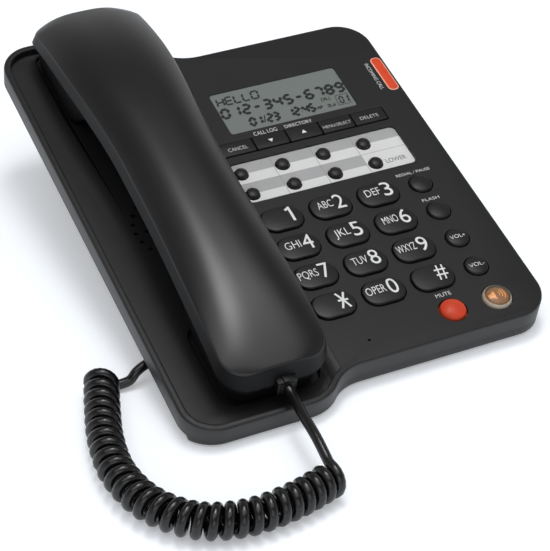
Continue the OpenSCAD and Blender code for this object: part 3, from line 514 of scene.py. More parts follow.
class Nodes:
    """A node tree, with ways to add and link nodes."""

    def __init__(self, tree):
        self.tree = tree
        self.link = tree.links.new

    def add(self, kind, **values):
        return put(self.tree.nodes.new(kind), **values)

    def where(self):
        return self.add("ShaderNodeTexCoord").outputs["Object"]

    def math(self, operation, a, b):
        """Result of a sum on two values, which may be sockets."""
        node = self.add("ShaderNodeMath")
        node.operation = operation
        for socket, value in zip(node.inputs, (a, b)):
            self.set(socket, value)
        return node.outputs[0]

    def set(self, socket, value):
        if isinstance(value, bpy.types.NodeSocket):
            self.link(value, socket)
        else:
            socket.default_value = value

    def noise(self, at, size, detail, rough):
        """Noise whose features have a size in millimetres."""
        node = self.add("ShaderNodeTexNoise", Detail=detail, Roughness=rough)
        self.link(at, node.inputs["Vector"])
        self.link(self.math("DIVIDE", 1 / MM, size), node.inputs["Scale"])
        return node.outputs["Fac"]

    def ranged(self, value, **values):
        node = self.add("ShaderNodeMapRange", **values)
        self.link(value, node.inputs["Value"])
        return node.outputs[0]

    def mix(self, factor, a, b):
        """Colour between two, which may be sockets."""
        node = self.add("ShaderNodeMix")
        node.data_type = "RGBA"
        self.link(factor, node.inputs["Factor"])
        for key, value in (("A", a), ("B", b)):
            self.set(node.inputs[key], value if isinstance(value, bpy.types.NodeSocket) else (*value, 1))
        return node.outputs["Result"]


class Surface(Nodes):
    """A new material round its principled shader."""

    def __init__(self, name, **values):
        self.material = bpy.data.materials.new(name)
        self.material.use_nodes = True
        super().__init__(self.material.node_tree)
        self.bsdf = put(self.tree.nodes["Principled BSDF"], **values)

    def group(self, name, **values):
        node = self.tree.nodes.new("ShaderNodeGroup")
        node.node_tree = bpy.data.node_groups[name]
        return put(node, **values).outputs

    def feed(self, socket, value):
        self.link(value, self.bsdf.inputs[socket])

    def bump(self, height, strength, relief):
        node = self.add("ShaderNodeBump", Strength=strength, Distance=relief * MM)
        self.link(height, node.inputs["Height"])
        self.feed("Normal", node.outputs[0])


def node_group(name, inputs, outputs):
    """New shader node group, with the sockets that it is given and that it makes."""
    tree = bpy.data.node_groups.new(name, "ShaderNodeTree")
    for socket, value in inputs.items():
        tree.interface.new_socket(socket, in_out="INPUT", socket_type="NodeSocketFloat").default_value = value
    for socket in outputs:
        tree.interface.new_socket(socket, in_out="OUTPUT", socket_type="NodeSocketFloat")
    nodes = Nodes(tree)
    return nodes, nodes.add("NodeGroupInput").outputs, nodes.add("NodeGroupOutput").inputs


def grain_group():
    """Moulded grain: a fine height and a slow mottle."""
    inputs = {"Grain size": 0.3, "Mottle size": 14}
    nodes, given, made = node_group("Moulded grain", inputs, ("Height", "Mottle"))
    at = nodes.where()
    nodes.link(nodes.noise(at, given["Grain size"], 2, 0.6), made["Height"])
    nodes.link(nodes.noise(at, given["Mottle size"], 3, 0.55), made["Mottle"])


def handling_group():
    """Handling marks: soft smears that change the gloss, and specks of dust."""
    nodes, given, made = node_group("Handling marks", {"Smear size": 30}, ("Smear", "Dust"))
    at = nodes.where()
    stretch = nodes.add("ShaderNodeMapping", Scale=(1, 0.4, 1))
    nodes.link(at, stretch.inputs["Vector"])
    nodes.link(nodes.noise(stretch.outputs[0], given["Smear size"], 4, 0.5), made["Smear"])
    specks = nodes.add("ShaderNodeTexVoronoi", Scale=420)
    nodes.link(at, specks.inputs["Vector"])
    nodes.link(nodes.ranged(specks.outputs["Distance"], From_Min=0.05, From_Max=0.02), made["Dust"])


# How far a plastic's tone goes up and down, and how much its dust shows
TONE, DUST = 0.18, 0.35


def plastic(name, colour, rough, grain=0.35, relief=0.02, specular=0.5, coat=0.0, spread=0.08):
    """Moulded plastic with a fine grain, a mottled tone and handling marks in its gloss."""
    s = Surface(name, Specular_IOR_Level=specular, Coat_Weight=coat, Coat_Roughness=0.12)
    moulded = s.group("Moulded grain", Grain_size=grain)
    marks = s.group("Handling marks")
    tint = s.mix(moulded["Mottle"], [c * (1 - TONE) for c in colour], [c * (1 + TONE) for c in colour])
    dust = s.math("MULTIPLY", marks["Dust"], DUST)
    s.feed("Base Color", s.mix(dust, tint, [c * 1.6 + 0.01 for c in colour]))
    low, high = rough - spread / 2, rough + spread / 2
    s.feed("Roughness", s.ranged(marks["Smear"], From_Min=0.3, From_Max=0.7, To_Min=low, To_Max=high))
    s.bump(moulded["Height"], 1.0, relief)
    return s.material


def glow_painted_plastic(name, colour, glow, rough=0.25, coat=0.3, specular=0.5):
    """Coloured translucent plastic: deep tone, mottled, with a painted glow of its own in its emission."""
    s = Surface(
        name, Emission_Strength=glow, Roughness=rough, Coat_Weight=coat, Coat_Roughness=0.08,
        Specular_IOR_Level=specular, Subsurface_Weight=0.15, Subsurface_Radius=(0.002, 0.0008, 0.0004),
    )
    moulded = s.group("Moulded grain", Grain_size=0.5, Mottle_size=4.0)
    tint = s.mix(moulded["Mottle"], [c * 0.86 for c in colour], [min(1, c * 1.1 + 0.01) for c in colour])
    s.feed("Base Color", tint)
    # Painted glow: the tint also goes out as a faint emission, standing in for light that passes through the
    # plastic
    s.feed("Emission Color", tint)
    s.bump(moulded["Height"], 0.6, 0.01)
    return s.material


def printed(name, colour, rough=0.6, fade=0.12, grain=0.2):
    """Ink or card: matte, a little uneven."""
    s = Surface(name, Roughness=rough)
    moulded = s.group("Moulded grain", Grain_size=grain, Mottle_size=3.0)
    s.feed("Base Color", s.mix(moulded["Mottle"], [c * (1 - fade) for c in colour], colour))
    s.bump(moulded["Height"], 0.5, 0.006)
    return s.material


def metal(name, colour, rough):
    """Bare metal with fine turning marks."""
    s = Surface(name, Base_Color=(*colour, 1), Metallic=1)
    moulded = s.group("Moulded grain", Grain_size=0.15, Mottle_size=2.0)
    s.feed("Roughness", s.ranged(moulded["Mottle"], To_Min=rough - 0.08, To_Max=rough + 0.12))
    s.bump(moulded["Height"], 0.5, 0.008)
    return s.material


def clear(name, alpha, colour=(0.02, 0.02, 0.02)):
    """Thin clear plastic: mostly see-through, with a soft sheen that varies."""
    s = Surface(name, Base_Color=(*colour, 1), Alpha=alpha, Specular_IOR_Level=0.5)
    marks = s.group("Handling marks", Smear_size=12)
    s.feed("Roughness", s.ranged(marks["Smear"], To_Min=0.06, To_Max=0.16))
    return s.material


def make_finishes():
    c = colours()
    dim_amber = [a * 0.4 for a in c.amber]
    pale_amber = [min(0.9, a * 1.3 + 0.04) for a in c.amber]
    grain_group()
    handling_group()
    FINISHES.update(
        case=plastic("Case plastic", c.case, 0.46, grain=0.4, relief=0.03, specular=0.62),
        panel=plastic("Panel plastic", c.case, 0.48, grain=0.35, relief=0.02, specular=0.38),
        key=plastic("Key plastic", c.keys, 0.42, grain=0.32, relief=0.02, specular=0.36),
        handset=plastic("Handset plastic", c.handset, 0.31, grain=0.5, relief=0.01, spread=0.04),
        handset_side=plastic("Handset sides", c.handset, 0.52, grain=0.5, relief=0.02, specular=0.22),
        cord=plastic("Cord jacket", c.cord, 0.24, grain=1.2, relief=0.01, specular=0.5, spread=0.1),
        plug=plastic("Plug plastic", c.cord, 0.45, grain=0.6, relief=0.008, specular=0.3),
        rubber=plastic("Foot rubber", (0.02, 0.02, 0.02), 0.8, grain=0.25, relief=0.05, specular=0.25),
        jack=plastic("Socket plastic", (0.012, 0.012, 0.013), 0.45),
        mat=plastic("Key mat rubber", (0.1, 0.1, 0.1), 0.75, grain=0.3, specular=0.3),
        board=plastic("Board lacquer", (0.01, 0.09, 0.035), 0.35, grain=0.8, relief=0.02),
        cone=plastic("Speaker paper", (0.015, 0.015, 0.016), 0.85, grain=0.6, relief=0.08, specular=0.2),
        ink=printed("White ink", c.ink),
        card_white=printed("Card white", (0.88, 0.88, 0.88), fade=0.03),
        card_grey=printed("Card grey", (0.5, 0.5, 0.505), fade=0.05),
        card_line=printed("Card line", (0.3, 0.3, 0.31), fade=0.1),
        card_word=printed("Card word", (0.1, 0.1, 0.105)),
        display=printed("Display grey", c.display, rough=0.4, fade=0.07, grain=0.6),
        segment=printed("Display segments", (0.003, 0.004, 0.004), rough=0.6),
        mute=glow_painted_plastic("Mute red", c.mute, 0.03, rough=0.4, coat=0.0, specular=0.25),
        amber=glow_painted_plastic("Amber glow", dim_amber, 0.08, rough=0.4, coat=0.0),
        amber_sign=glow_painted_plastic("Amber sign", pale_amber, 0.1, rough=0.4, coat=0.0),
        dome_rim=plastic("Dome rim", (0.42, 0.36, 0.28), 0.2, grain=0.8, relief=0.01, coat=0.4),
        lamp=glow_painted_plastic("Lamp orange", c.lamp, 0.08, rough=0.38, coat=0.05),
        lamp_edge=glow_painted_plastic("Lamp rim", (0.86, 0.42, 0.28), 0.06, rough=0.2),
        window=clear("Window plastic", 0.04),
        cover=clear("Card cover plastic", 0.06),
        dome=clear("Clear dome", 0.1, colour=(0.6, 0.55, 0.46)),
        steel=metal("Screw steel", (0.55, 0.55, 0.57), 0.3),
        can=metal("Capsule metal", (0.5, 0.5, 0.51), 0.35),
        gold=metal("Contact gold", (0.83, 0.6, 0.25), 0.25),
    )


# Camera, in metres
CAMERA_AT = (-0.2657, -0.5821, 0.4478)
CAMERA_WAY = (0.3406, 0.7372, -0.5835)
LENS, SENSOR = 125.7, 36

# Lamps: name, place, what they face, width, depth, power, colour and turn
LAMPS = (
    ("Ceiling panel", (-0.15, -0.25, 1.2), (-0.15, -0.25, 0), 1.6, 0.95, 6.9, (1, 1, 1), 0),
    ("Key strip", (0.055, 0.085, 1.19), (0.055, 0.085, 0), 0.28, 0.48, 4.1, (1, 1, 1), -38),
    ("Front fill", (-0.5, -1.25, 0.7), (0, 0, 0), 0.9, 0.7, 2.5, (0.86, 0.91, 1), 0),
)

# Two tones of the floor, and its own light where it is seen
FLOOR_LOW, FLOOR_HIGH, FLOOR_GLOW = (0.86, 0.9, 0.96), (0.89, 0.93, 0.98), 0.26


class PHONE_OT_stage(bpy.types.Operator):
    """Camera, floor, lamps and world"""

    bl_idname = "phone.stage"
    bl_label = "Stage"

    def execute(self, context):
        scene = context.scene
        scene.view_settings.view_transform = "Standard"
        cam = bpy.data.cameras.new("Camera")
        cam.lens, cam.sensor_width = LENS, SENSOR
        cam.clip_end = 20
        camera = bpy.data.objects.new("Camera", cam)
        camera.location = CAMERA_AT
        camera.rotation_euler = Vector(CAMERA_WAY).to_track_quat("-Z", "Y").to_euler()
        scene.collection.objects.link(camera)
        scene.camera = camera
        self.floor()
        self.world(scene)
        for lamp in LAMPS:
            self.lamp(*lamp)
        make_finishes()
        return {"FINISHED"}

    def floor(self):
        clear_selection()
        bpy.ops.mesh.primitive_plane_add(size=8)
        ground = bpy.context.object
        ground.name = "Floor"
        edit(ground)
        bpy.ops.mesh.subdivide(number_cuts=3)
        done()
        s = Surface("Floor paper", Roughness=0.9, Specular_IOR_Level=0.0, Emission_Color=(1, 1, 1, 1))
        tone = s.add("ShaderNodeTexNoise", Scale=3.0)
        s.link(s.where(), tone.inputs["Vector"])
        s.feed("Base Color", s.mix(tone.outputs["Fac"], FLOOR_LOW, FLOOR_HIGH))
        path = s.add("ShaderNodeLightPath").outputs
        seen = path["Is Camera Ray"]
        for ray in ("Is Glossy Ray", "Is Transmission Ray"):
            seen = s.math("MAXIMUM", seen, path[ray])
        s.feed("Emission Strength", s.math("MULTIPLY", seen, FLOOR_GLOW))
        ground.data.materials.append(s.material)

    def world(self, scene):
        """White all round, dimmer overhead than at the horizon."""
        world = bpy.data.worlds.new("Studio")
        scene.world = world
        world.use_nodes = True
        nodes = Nodes(world.node_tree)
        back = put(world.node_tree.nodes["Background"], Color=(1, 1, 1, 1))
        parts = nodes.add("ShaderNodeSeparateXYZ")
        nodes.link(nodes.add("ShaderNodeTexCoord").outputs["Generated"], parts.inputs[0])
        level = nodes.add("ShaderNodeMapRange", From_Min=0.1, From_Max=0.75, To_Min=0.7, To_Max=0.2)
        level.interpolation_type = "SMOOTHSTEP"
        nodes.link(parts.outputs["Z"], level.inputs["Value"])
        nodes.link(level.outputs[0], back.inputs["Strength"])

    def lamp(self, name, at, towards, width, depth, power, colour, turn):
        data = bpy.data.lights.new(name, "AREA")
        data.shape = "RECTANGLE"
        data.size, data.size_y = width, depth
        data.energy = power
        data.color = colour
        obj = bpy.data.objects.new(name, data)
        obj.location = at
        aim = (Vector(towards) - Vector(at)).to_track_quat("-Z", "Y")
        obj.rotation_euler = (aim.to_matrix() @ Matrix.Rotation(radians(turn), 3, "Z")).to_euler()
        bpy.context.scene.collection.objects.link(obj)


# Route of the cord, in millimetres, as the solids have it
CURL_LINE = (
    (-93, -57), (-99, -74), (-104, -91), (-106, -109), (-102, -127), (-91, -141),
    (-75, -147), (-57, -146), (-40, -141.5),
)
CURL_N, CURL_R, CURL_Z, CURL_EASE = 28.5, 4.7, 6.85, 0.12
CORD_D, SEAT_GAP = 3.2, 0.3
# Points on each curl, and on each stretch of a lead
CURL_POINTS, LEAD_STEPS = 18, 5
# A lead's share of the full thickness, how many points have it, and over how many more it grows to the whole
LEAD_SHARE, LEAD_POINTS, LEAD_BLEND = 0.95, 18, 18
BASE_PLUG_END = Vector((-72.034, -56.9799, 7.7))
HANDSET_JACK = Vector((1.5, -99, 6))
# Bends of the straight ends
BASE_BENDS = (Vector((-79.5, -57.8, 6.2)), Vector((-82.5, -58.2, 3.4)))
HANDSET_BENDS = (Vector((-39.8, -127, 14.2)), Vector((-39.4, -117, 15)))
PLUG_OUT = 2.6


def curve_at(points, k):
    """Smooth curve through points, at a share k counted in stretches."""
    i = min(len(points) - 2, floor(k))
    t = k - i
    b, c = points[i], points[i + 1]
    a = 2 * b - c if i == 0 else points[i - 1]
    d = 2 * c - b if i == len(points) - 2 else points[i + 2]
    return 0.5 * (2 * b + (c - a) * t + (2 * a - 5 * b + 4 * c - d) * t**2 + (3 * b - a - 3 * c + d) * t**3)


def curl_point(k):
    line = [Vector((*p, 0)) for p in CURL_LINE]
    n = len(line) - 1
    at = curve_at(line, k * n)
    ahead = (curve_at(line, min(n, k * n + 0.01)) - curve_at(line, max(0, k * n - 0.01))).normalized()
    turn = 2 * pi * CURL_N * (k + CURL_EASE * (k * k - k))
    side = Vector((ahead.y, -ahead.x, 0))
    return at + side * CURL_R * sin(turn) + Vector((0, 0, CURL_Z - CURL_R * cos(turn)))


def cord_route():
    """Points of the whole cord: straight end at the base, curls, straight end at the handset."""
    rings = round(CURL_N * CURL_POINTS)
    curls = [curl_point(i / rings) for i in range(rings + 1)]
    level, near = Vector((1, 1, 0)), 1 / (CURL_N * 8)
    head = ((curl_point(near) - curls[0]) * level).normalized()
    tail = ((curls[-1] - curl_point(1 - near)) * level).normalized()
    start = curls[0] - head * CORD_D
    stop = curls[-1] + tail * CORD_D
    first = BASE_PLUG_END
    base = [first, first - Vector((CORD_D, 0, 0)), *BASE_BENDS]
    base += [start - head * CORD_D + Vector((0, 0, SEAT_GAP)), start]
    tip = HANDSET @ ((HANDSET_JACK - Vector((0, PLUG_OUT, 0))) * MM) / MM
    out = Vector((0, -cos(PANEL_TILT), -sin(PANEL_TILT)))
    upper = [stop, *HANDSET_BENDS, tip + out * CORD_D * 1.5, tip]
    lead = [curve_at(base, i / LEAD_STEPS) for i in range(LEAD_STEPS * (len(base) - 1))]
    rise = [curve_at(upper, i / LEAD_STEPS) for i in range(1, LEAD_STEPS * (len(upper) - 1) + 1)]
    return lead + [start] + curls + [stop] + rise


class PHONE_OT_cord(bpy.types.Operator):
    """Curly cord with its two straight ends and its modular plugs"""

    bl_idname = "phone.cord"
    bl_label = "Cord and plugs"

    def execute(self, context):
        route = [p * MM for p in cord_route()]
        width = sizes().cord_width
        curve = bpy.data.curves.new("curly_cord_jacket", "CURVE")
        curve.dimensions = "3D"
        spline = curve.splines.new("POLY")
        spline.points.add(len(route) - 1)
        for i, (point, at) in enumerate(zip(spline.points, route)):
            point.co = (*at, 1)
            inner = ramp((min(i, len(route) - 1 - i) - LEAD_POINTS) / LEAD_BLEND)
            point.radius = LEAD_SHARE + (1 - LEAD_SHARE) * inner
        curve.bevel_depth = width / 2
        curve.bevel_resolution = 4
        curve.use_fill_caps = True
        curve.twist_mode = "MINIMUM"
        jacket = bpy.data.objects.new("curly_cord_jacket", curve)
        context.scene.collection.objects.link(jacket)
        activate(jacket)
        bpy.ops.object.convert(target="MESH")
        jacket = mend(bpy.context.object, 1e-7)
        smooth(jacket, 60)
        paint(jacket, "cord")
        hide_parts("base_lead", "curly_cord", "handset_lead")
        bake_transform(jacket)
        handset_plug = self.plug("handset_cord_plug")
        base_plug = twin(handset_plug, "base_cord_plug")
        place(handset_plug, HANDSET @ Matrix.Translation(HANDSET_JACK * MM))
        jack = BASE_PLUG_END + Vector((PLUG_OUT, 0, 0))
        place(base_plug, Matrix.Translation(jack * MM) @ Matrix.Rotation(-pi / 2, 4, "Z"))
        dress(handset_plug, "plug", "handset", "plug_black", "handset_plug")
        dress(base_plug, "plug", "base", "plug_black", "base_plug")
        return {"FINISHED"}

    def plug(self, name):
        """Modular plug along +Y: shouldered body, latch lever and a short neck round the cord."""
        body = block(name, (-3.8, -2.2, -3.1), (3.8, 8.4, 3.1))
        pick_faces(body, lambda f: f.normal.y < -0.9)
        inset(1.1)
        bpy.ops.mesh.extrude_region_move(TRANSFORM_OT_translate={"value": (0, -0.4 * MM, 0)})
        done()
        bevel(body, 0.35)
        latch = block("latch", (-1.5, -2.6, 3.05), (1.5, 6.5, 3.75))
        for v in latch.data.vertices:
            if v.co.y > 0:
                v.co.z -= 0.6 * MM
            elif v.co.z > 3.5 * MM:
                v.co.z += 0.25 * MM
        bevel(latch, 0.15)
        return smooth(join(body, latch))


# Handset: ends, roundings in plan, lip, insets and wall
HS_FRONT, HS_REAR = -99, 105
HS_LEN, HS_MID = HS_REAR - HS_FRONT, (HS_REAR + HS_FRONT) / 2
MOUTH_ROUND, EAR_ROUND = 11, 9
# Half width of the grip, and what the ear and the mouth add to it
GRIP_HALF, EAR_MORE, MOUTH_MORE = 20.6, 3.4, 1.2
# Height of the back's edge at the middle, its rise towards the ear, and its fall at both ends
EDGE_Z, EDGE_RISE, EAR_FALL, MOUTH_FALL = 21.5, 3.2, 14.6, 5.6
# Height of the grip's sole, and how far the pads stand below it
SOLE_Z, PAD_DROP = 10, 14.6
FACE_LIP, EDGE_IN, FACE_IN, SHELL_T = 2.4, 1.1, 0.5, 1.8
# Holes of the earpiece: how many on each circle, and its radius
EAR_HOLES = ((1, 0), (6, 3.6), (12, 7.2))
# Face shell from its rim inwards: distance in, height under the lip, and share of the fall to the sole
FACE_STEPS = (
    (0.25, -0.3, 0), (0.45, -0.08, 0), (0.9, 0, 0), (1.6, 0, 0.08), (2.1, 0, 0.3),
    (2.5, 0, 0.6), (2.9, 0, 0.82), (3.4, 0, 0.94), (4.2, 0, 0.99), (5.1, 0, 1),
)
EAR_Q, MOUTH_Q = 79.3, -78.4
# Opening for the socket in both shells
SOCKET_X0, SOCKET_X1, SOCKET_TOP = -2.45, 5.45, 9.25


def hs_share(y):
    """Place along the handset, from 0 at the mouth end to 1 at the ear end."""
    return (y - HS_FRONT) / HS_LEN


def hs_end(y, mouth, grip, ear):
    u = hs_share(y)
    return grip + ((mouth if u < 0.5 else ear) - grip) * (2 * u - 1) ** 2


def hs_edge(y):
    """Height of the back's edge: level over the grip, falling to both ends."""
    k = 2 * hs_share(y) - 1
    return EDGE_Z + EDGE_RISE * k - (EAR_FALL * k**3 if k > 0 else MOUTH_FALL * k**6)


def hs_part(y):
    return hs_edge(y) - hs_end(y, 6.5, 5, 4)


def hs_crown(y):
    return hs_end(y, 2, 6.5, 5)


def hs_sole(y):
    u = hs_share(y)
    return SOLE_Z - PAD_DROP * max(ramp((u - 0.7) / 0.1), ramp((0.3 - u) / 0.13))


def hs_half(y):
    """Half width in plan at a place along the handset, with its rounded ends."""
    u = hs_share(y)
    wide = GRIP_HALF + EAR_MORE * ramp((u - 0.52) / 0.33) + MOUTH_MORE * ramp((0.42 - u) / 0.32)
    return wide - round_loss(y - HS_FRONT, MOUTH_ROUND) - round_loss(HS_REAR - y, EAR_ROUND)


def hs_contour(y, inner):
    """Right-hand point of the plan outline at y, moved inwards by a distance."""
    step = 0.01
    lo, hi = max(HS_FRONT, y - step), min(HS_REAR, y + step)
    slope = (hs_half(hi) - hs_half(lo)) / (hi - lo)
    nx, ny = -1 / hypot(1, slope), slope / hypot(1, slope)
    if y <= HS_FRONT + 1e-6:
        nx, ny = 0, 1
    if y >= HS_REAR - 1e-6:
        nx, ny = 0, -1
    along = max(HS_FRONT + inner, min(HS_REAR - inner, y + ny * inner))
    return hs_half(y) + nx * inner, along


def shell_grid(name, rows, columns, rings, point):
    """Grid whose outer rings run round the handset's plan and whose middle spans it.

    point(ring, k, y) gives the place of a point: ring counts inwards from the rim, k goes across."""
    clear_selection()
    total_rows, total_columns = rows + 2 * rings, columns + 2 * rings
    bpy.ops.mesh.primitive_grid_add(x_subdivisions=total_columns, y_subdivisions=total_rows, size=2)
    obj = bpy.context.object
    obj.name = name
    for v in obj.data.vertices:
        i = round((v.co.y + 1) / 2 * total_rows)
        j = round((v.co.x + 1) / 2 * total_columns)
        ring = min(rings, i, j, total_rows - i, total_columns - j)
        row = min(rows, max(0, i - rings))
        column = min(columns, max(0, j - rings))
        y = HS_MID - HS_LEN / 2 * cos(pi * row / rows)
        v.co = Vector(point(ring, 2 * column / columns - 1, y)) * MM
    return mend(obj, 2e-6)


class PHONE_OT_handset(bpy.types.Operator):
    """Handset: back and face shells, earpiece, microphone and socket"""

    bl_idname = "phone.handset"
    bl_label = "Handset"

    def execute(self, context):
        back = self.back()
        face = self.face()
        for shell, node in ((back, "handset_back"), (face, "handset_face")):
            # Satin crown and sole; the walls get a more matt, less reflective copy of the same plastic, a
            # painted shade that keeps them darker
            paint(shell, "handset", "handset_side", pick=lambda f: abs(f.normal.z) < 0.4)
            place(shell, HANDSET)
            smooth(shell, 40)
            dress(shell, None, "handset", "handset_black", node)
        for node, finish in (("receiver_capsule", "can"), ("handset_mic", "can"), ("handset_socket", "jack")):
            keep(node, finish)
        return {"FINISHED"}

    def back(self):
        rim = sizes().handset_round / MM
        groove = sizes().parting / MM
        steps = rim_steps(rim, 5)
        rings = len(steps) + 2

        def point(ring, k, y):
            step = (0.0, 0.0, *steps)[min(ring, rings - 1)]
            x, along = hs_contour(y, step + EDGE_IN if ring else 0.0)
            x *= k
            if ring == 0:
                return x, along, hs_part(along) + groove
            share = min(1, abs(x) / max(0.1, hs_half(along) - EDGE_IN))
            return x, along, hs_edge(along) + hs_crown(along) * (1 - share**3) - round_loss(step, rim)

        shell = shell_grid("handset_back_shell", 90, 28, rings, point)
        self.thicken(shell)
        return cut(shell, block("socket_cut", (SOCKET_X0, -101, 2.75), (SOCKET_X1, -96, SOCKET_TOP)))

    def face(self):
        """Face shell: a lip under the parting line, then a step down to the sole."""
        groove = sizes().parting / MM

        def point(ring, k, y):
            inner, above, fall = (0, 0, 0) if ring == 0 else FACE_STEPS[min(ring, len(FACE_STEPS)) - 1]
            x, along = hs_contour(y, FACE_IN + inner)
            lip = hs_part(along) - FACE_LIP
            z = hs_part(along) - groove if ring == 0 else lip - above + (hs_sole(along) - lip) * fall
            return x * k, along, z

        shell = shell_grid("handset_face_shell", 116, 24, len(FACE_STEPS), point)
        self.thicken(shell)
        cut(shell, block("socket_cut", (SOCKET_X0, -101, -1), (SOCKET_X1, -95.4, SOCKET_TOP)))
        drill = disc("drill", 1, -8, 16)
        extruded(drill, 8)
        holes = []
        for count, radius in EAR_HOLES:
            for i in range(count):
                a = 2 * pi * i / count
                holes.append(place(twin(drill, "hole"), shift(radius * cos(a), EAR_Q + radius * sin(a))))
        place(drill, shift(0, MOUTH_Q))
        return cut(shell, join(drill, *holes))

    def thicken(self, shell):
        apply_modifier(shell, "SOLIDIFY", thickness=SHELL_T * MM, offset=-1, use_even_offset=False)


# Base: heights over the panel below which an edge isn't rounded, and down to which only the outer wall goes
CRADLE_LOW, SKIRT_LOW = -5.5, -6.9


def panel_place(co):
    """A point in the panel's frame, in millimetres."""
    return PANEL.inverted() @ co / MM


class PHONE_OT_covers(bpy.types.Operator):
    """Upper and lower cover of the base with rounded moulded edges"""

    bl_idname = "phone.covers"
    bl_label = "Covers"

    def execute(self, context):
        top = solid_copy("base_top_cover", "upper_cover")
        up = PANEL.to_3x3() @ Vector((0, 0, 1))
        s = sizes()

        def top_width(e):
            spots = [panel_place(v.co) for v in e.verts]
            high = max(p.z for p in spots)
            x = sum(p.x for p in spots) / 2
            lowest = min(panel_place(v.co).z for f in e.link_faces for v in f.verts)
            if high < CRADLE_LOW or max(f.normal.dot(up) for f in e.link_faces) < 0.9:
                return 0
            if lowest < SKIRT_LOW and high > -0.1:
                return s.rim_round
            grille = hypot(x - HANDSET_X, sum(p.y for p in spots) / 2 - GRILLE_Q) < GRILLE_R
            return s.edge_round if x < SLOPE_X and not grille else 0

        bevel_edges(top, top_width)
        smooth(top, 35)
        # The panel has a finer texture than the walls and reflects less; the walls' stronger reflection is
        # painted light that keeps them lighter than the panel
        paint(top, "case", "panel", pick=lambda f: f.normal.dot(up) > 0.93)
        dress(top, None, "base", "case_black", "base_top_cover")
        low = solid_copy("base_bottom_cover", "lower_cover")

        def low_width(e):
            mid = (e.verts[0].co + e.verts[1].co) / 2 / MM
            if mid.z < 1.2:
                return s.edge_round if e.calc_length() > 0.5 * MM else 0
            return s.lower_round

        bevel_edges(low, low_width, 2)
        smooth(low, 35)
        dress(low, "case", "base", "case_black", "base_bottom_cover")
        return {"FINISHED"}


class PHONE_OT_underside(bpy.types.Operator):
    """Rubber feet and case screws"""

    bl_idname = "phone.underside"
    bl_label = "Feet and screws"

    def execute(self, context):
        radius, height, dish = 6, 1, 0.25
        foot = disc("rubber_foot", radius, 0, 48)
        extruded(foot, height)
        pick_faces(foot, lambda f: f.normal.z < -0.9)
        inset(0.8)
        inset(0.5)
        bpy.ops.transform.translate(value=(0, 0, dish * MM))
        done()
        bevel(foot, 0.18)
        self.spread(foot, "rubber_feet", "rubber", "rubber_black")
        radius, head, shoulder, shank = 2.8, 1.9, 1.4, 4
        screw = disc("case_screw", radius, 0, 28)
        edit(screw)
        lift(head)
        inset(shoulder)
        lift(shank)
        done()
        mend(screw)
        bevel(screw, 0.25)
        slots = [block("slot", (-a, -b, -1), (a, b, 1)) for a, b in ((1.6, 0.35), (0.35, 1.6))]
        cut(screw, join(*slots))
        self.spread(screw, "case_screws", "steel", "screw_steel")
        return {"FINISHED"}

    def spread(self, first, node, finish, slot):
        """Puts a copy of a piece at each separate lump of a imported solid."""
        edit(solid_copy(node, "lumps"))
        bpy.ops.mesh.separate(type="LOOSE")
        done()
        lumps = list(bpy.context.selected_objects)
        made = []
        for lump in lumps:
            spots = [v.co for v in lump.data.vertices]
            low = min(p.z for p in spots)
            ring = [p for p in spots if p.z < low + 1e-5]
            mid = [(min(p[k] for p in ring) + max(p[k] for p in ring)) / 2 for k in range(3)]
            made.append(place(twin(first, node + "_piece"), Matrix.Translation(mid)))
        for o in [first, *lumps]:
            bpy.data.objects.remove(o)
        whole = join(*made)
        whole.name = node + "_finished"
        smooth(whole)
        dress(whole, finish, "base", slot, node)


# Keys: width, depth and corner radius
DIAL_KEY, FUNCTION_KEY, MEMORY_KEY = (17, 12, 5.4), (9.3, 9.3, 4.65), (5.4, 5.4, 2.7)
MUTE_KEY, SPEAKER_KEY, SPEAKER_CORE = (10.2, 10.2, 5.1), (11.6, 11.6, 5.8), (9.4, 9.4, 4.7)
# Dial keys from the top left: node, digit or sign, and letters
LEGENDS = (
    ("key_1", "1", ""), ("key_2", "2", "ABC"), ("key_3", "3", "DEF"),
    ("key_4", "4", "GHI"), ("key_5", "5", "JKL"), ("key_6", "6", "MNO"),
    ("key_7", "7", "PQRS"), ("key_8", "8", "TUV"), ("key_9", "9", "WXYZ"),
    ("key_star", "*", ""), ("key_0", "0", "OPER"), ("key_hash", "#", ""),
)
# Signs made of bars: their thickness, and both ends of each
BARS = {
    "*": (0.85, ((-1.75, -3.86, 1.75, 3.86), (-1.75, 3.86, 1.75, -3.86), (-2.12, 0, 2.12, 0))),
    "1": (1.1, ((0.3, -3.5, 0.3, 4.2), (-1.5, 2.5, 0.35, 3.6))),
}
# Where a digit stands on its key, its height and its width where that isn't the usual one
SIGN_X, BAR_SIGN_Y, SIGN_Y, SIGN_H, SIGN_W = 3.9, 0.5, 0.93, 7.5, 4.2
SIGN_WIDTHS = {"4": 4.5, "#": 5.0}
# Function keys from the top, with their print
FUNCTIONS = (("redial_key", ""), ("flash_key", ""), ("volume_up_key", "VOL+"), ("volume_down_key", "VOL-"))
# Menu keys from the left: word, width and height of its capitals, or an arrow
MENU_WORDS = (
    ("CANCEL", 8.3, 2.0), ("down", 0, 0), ("up", 0, 0), ("MENU/SELECT", 12.6, 1.65), ("DELETE", 8.2, 1.85),
)


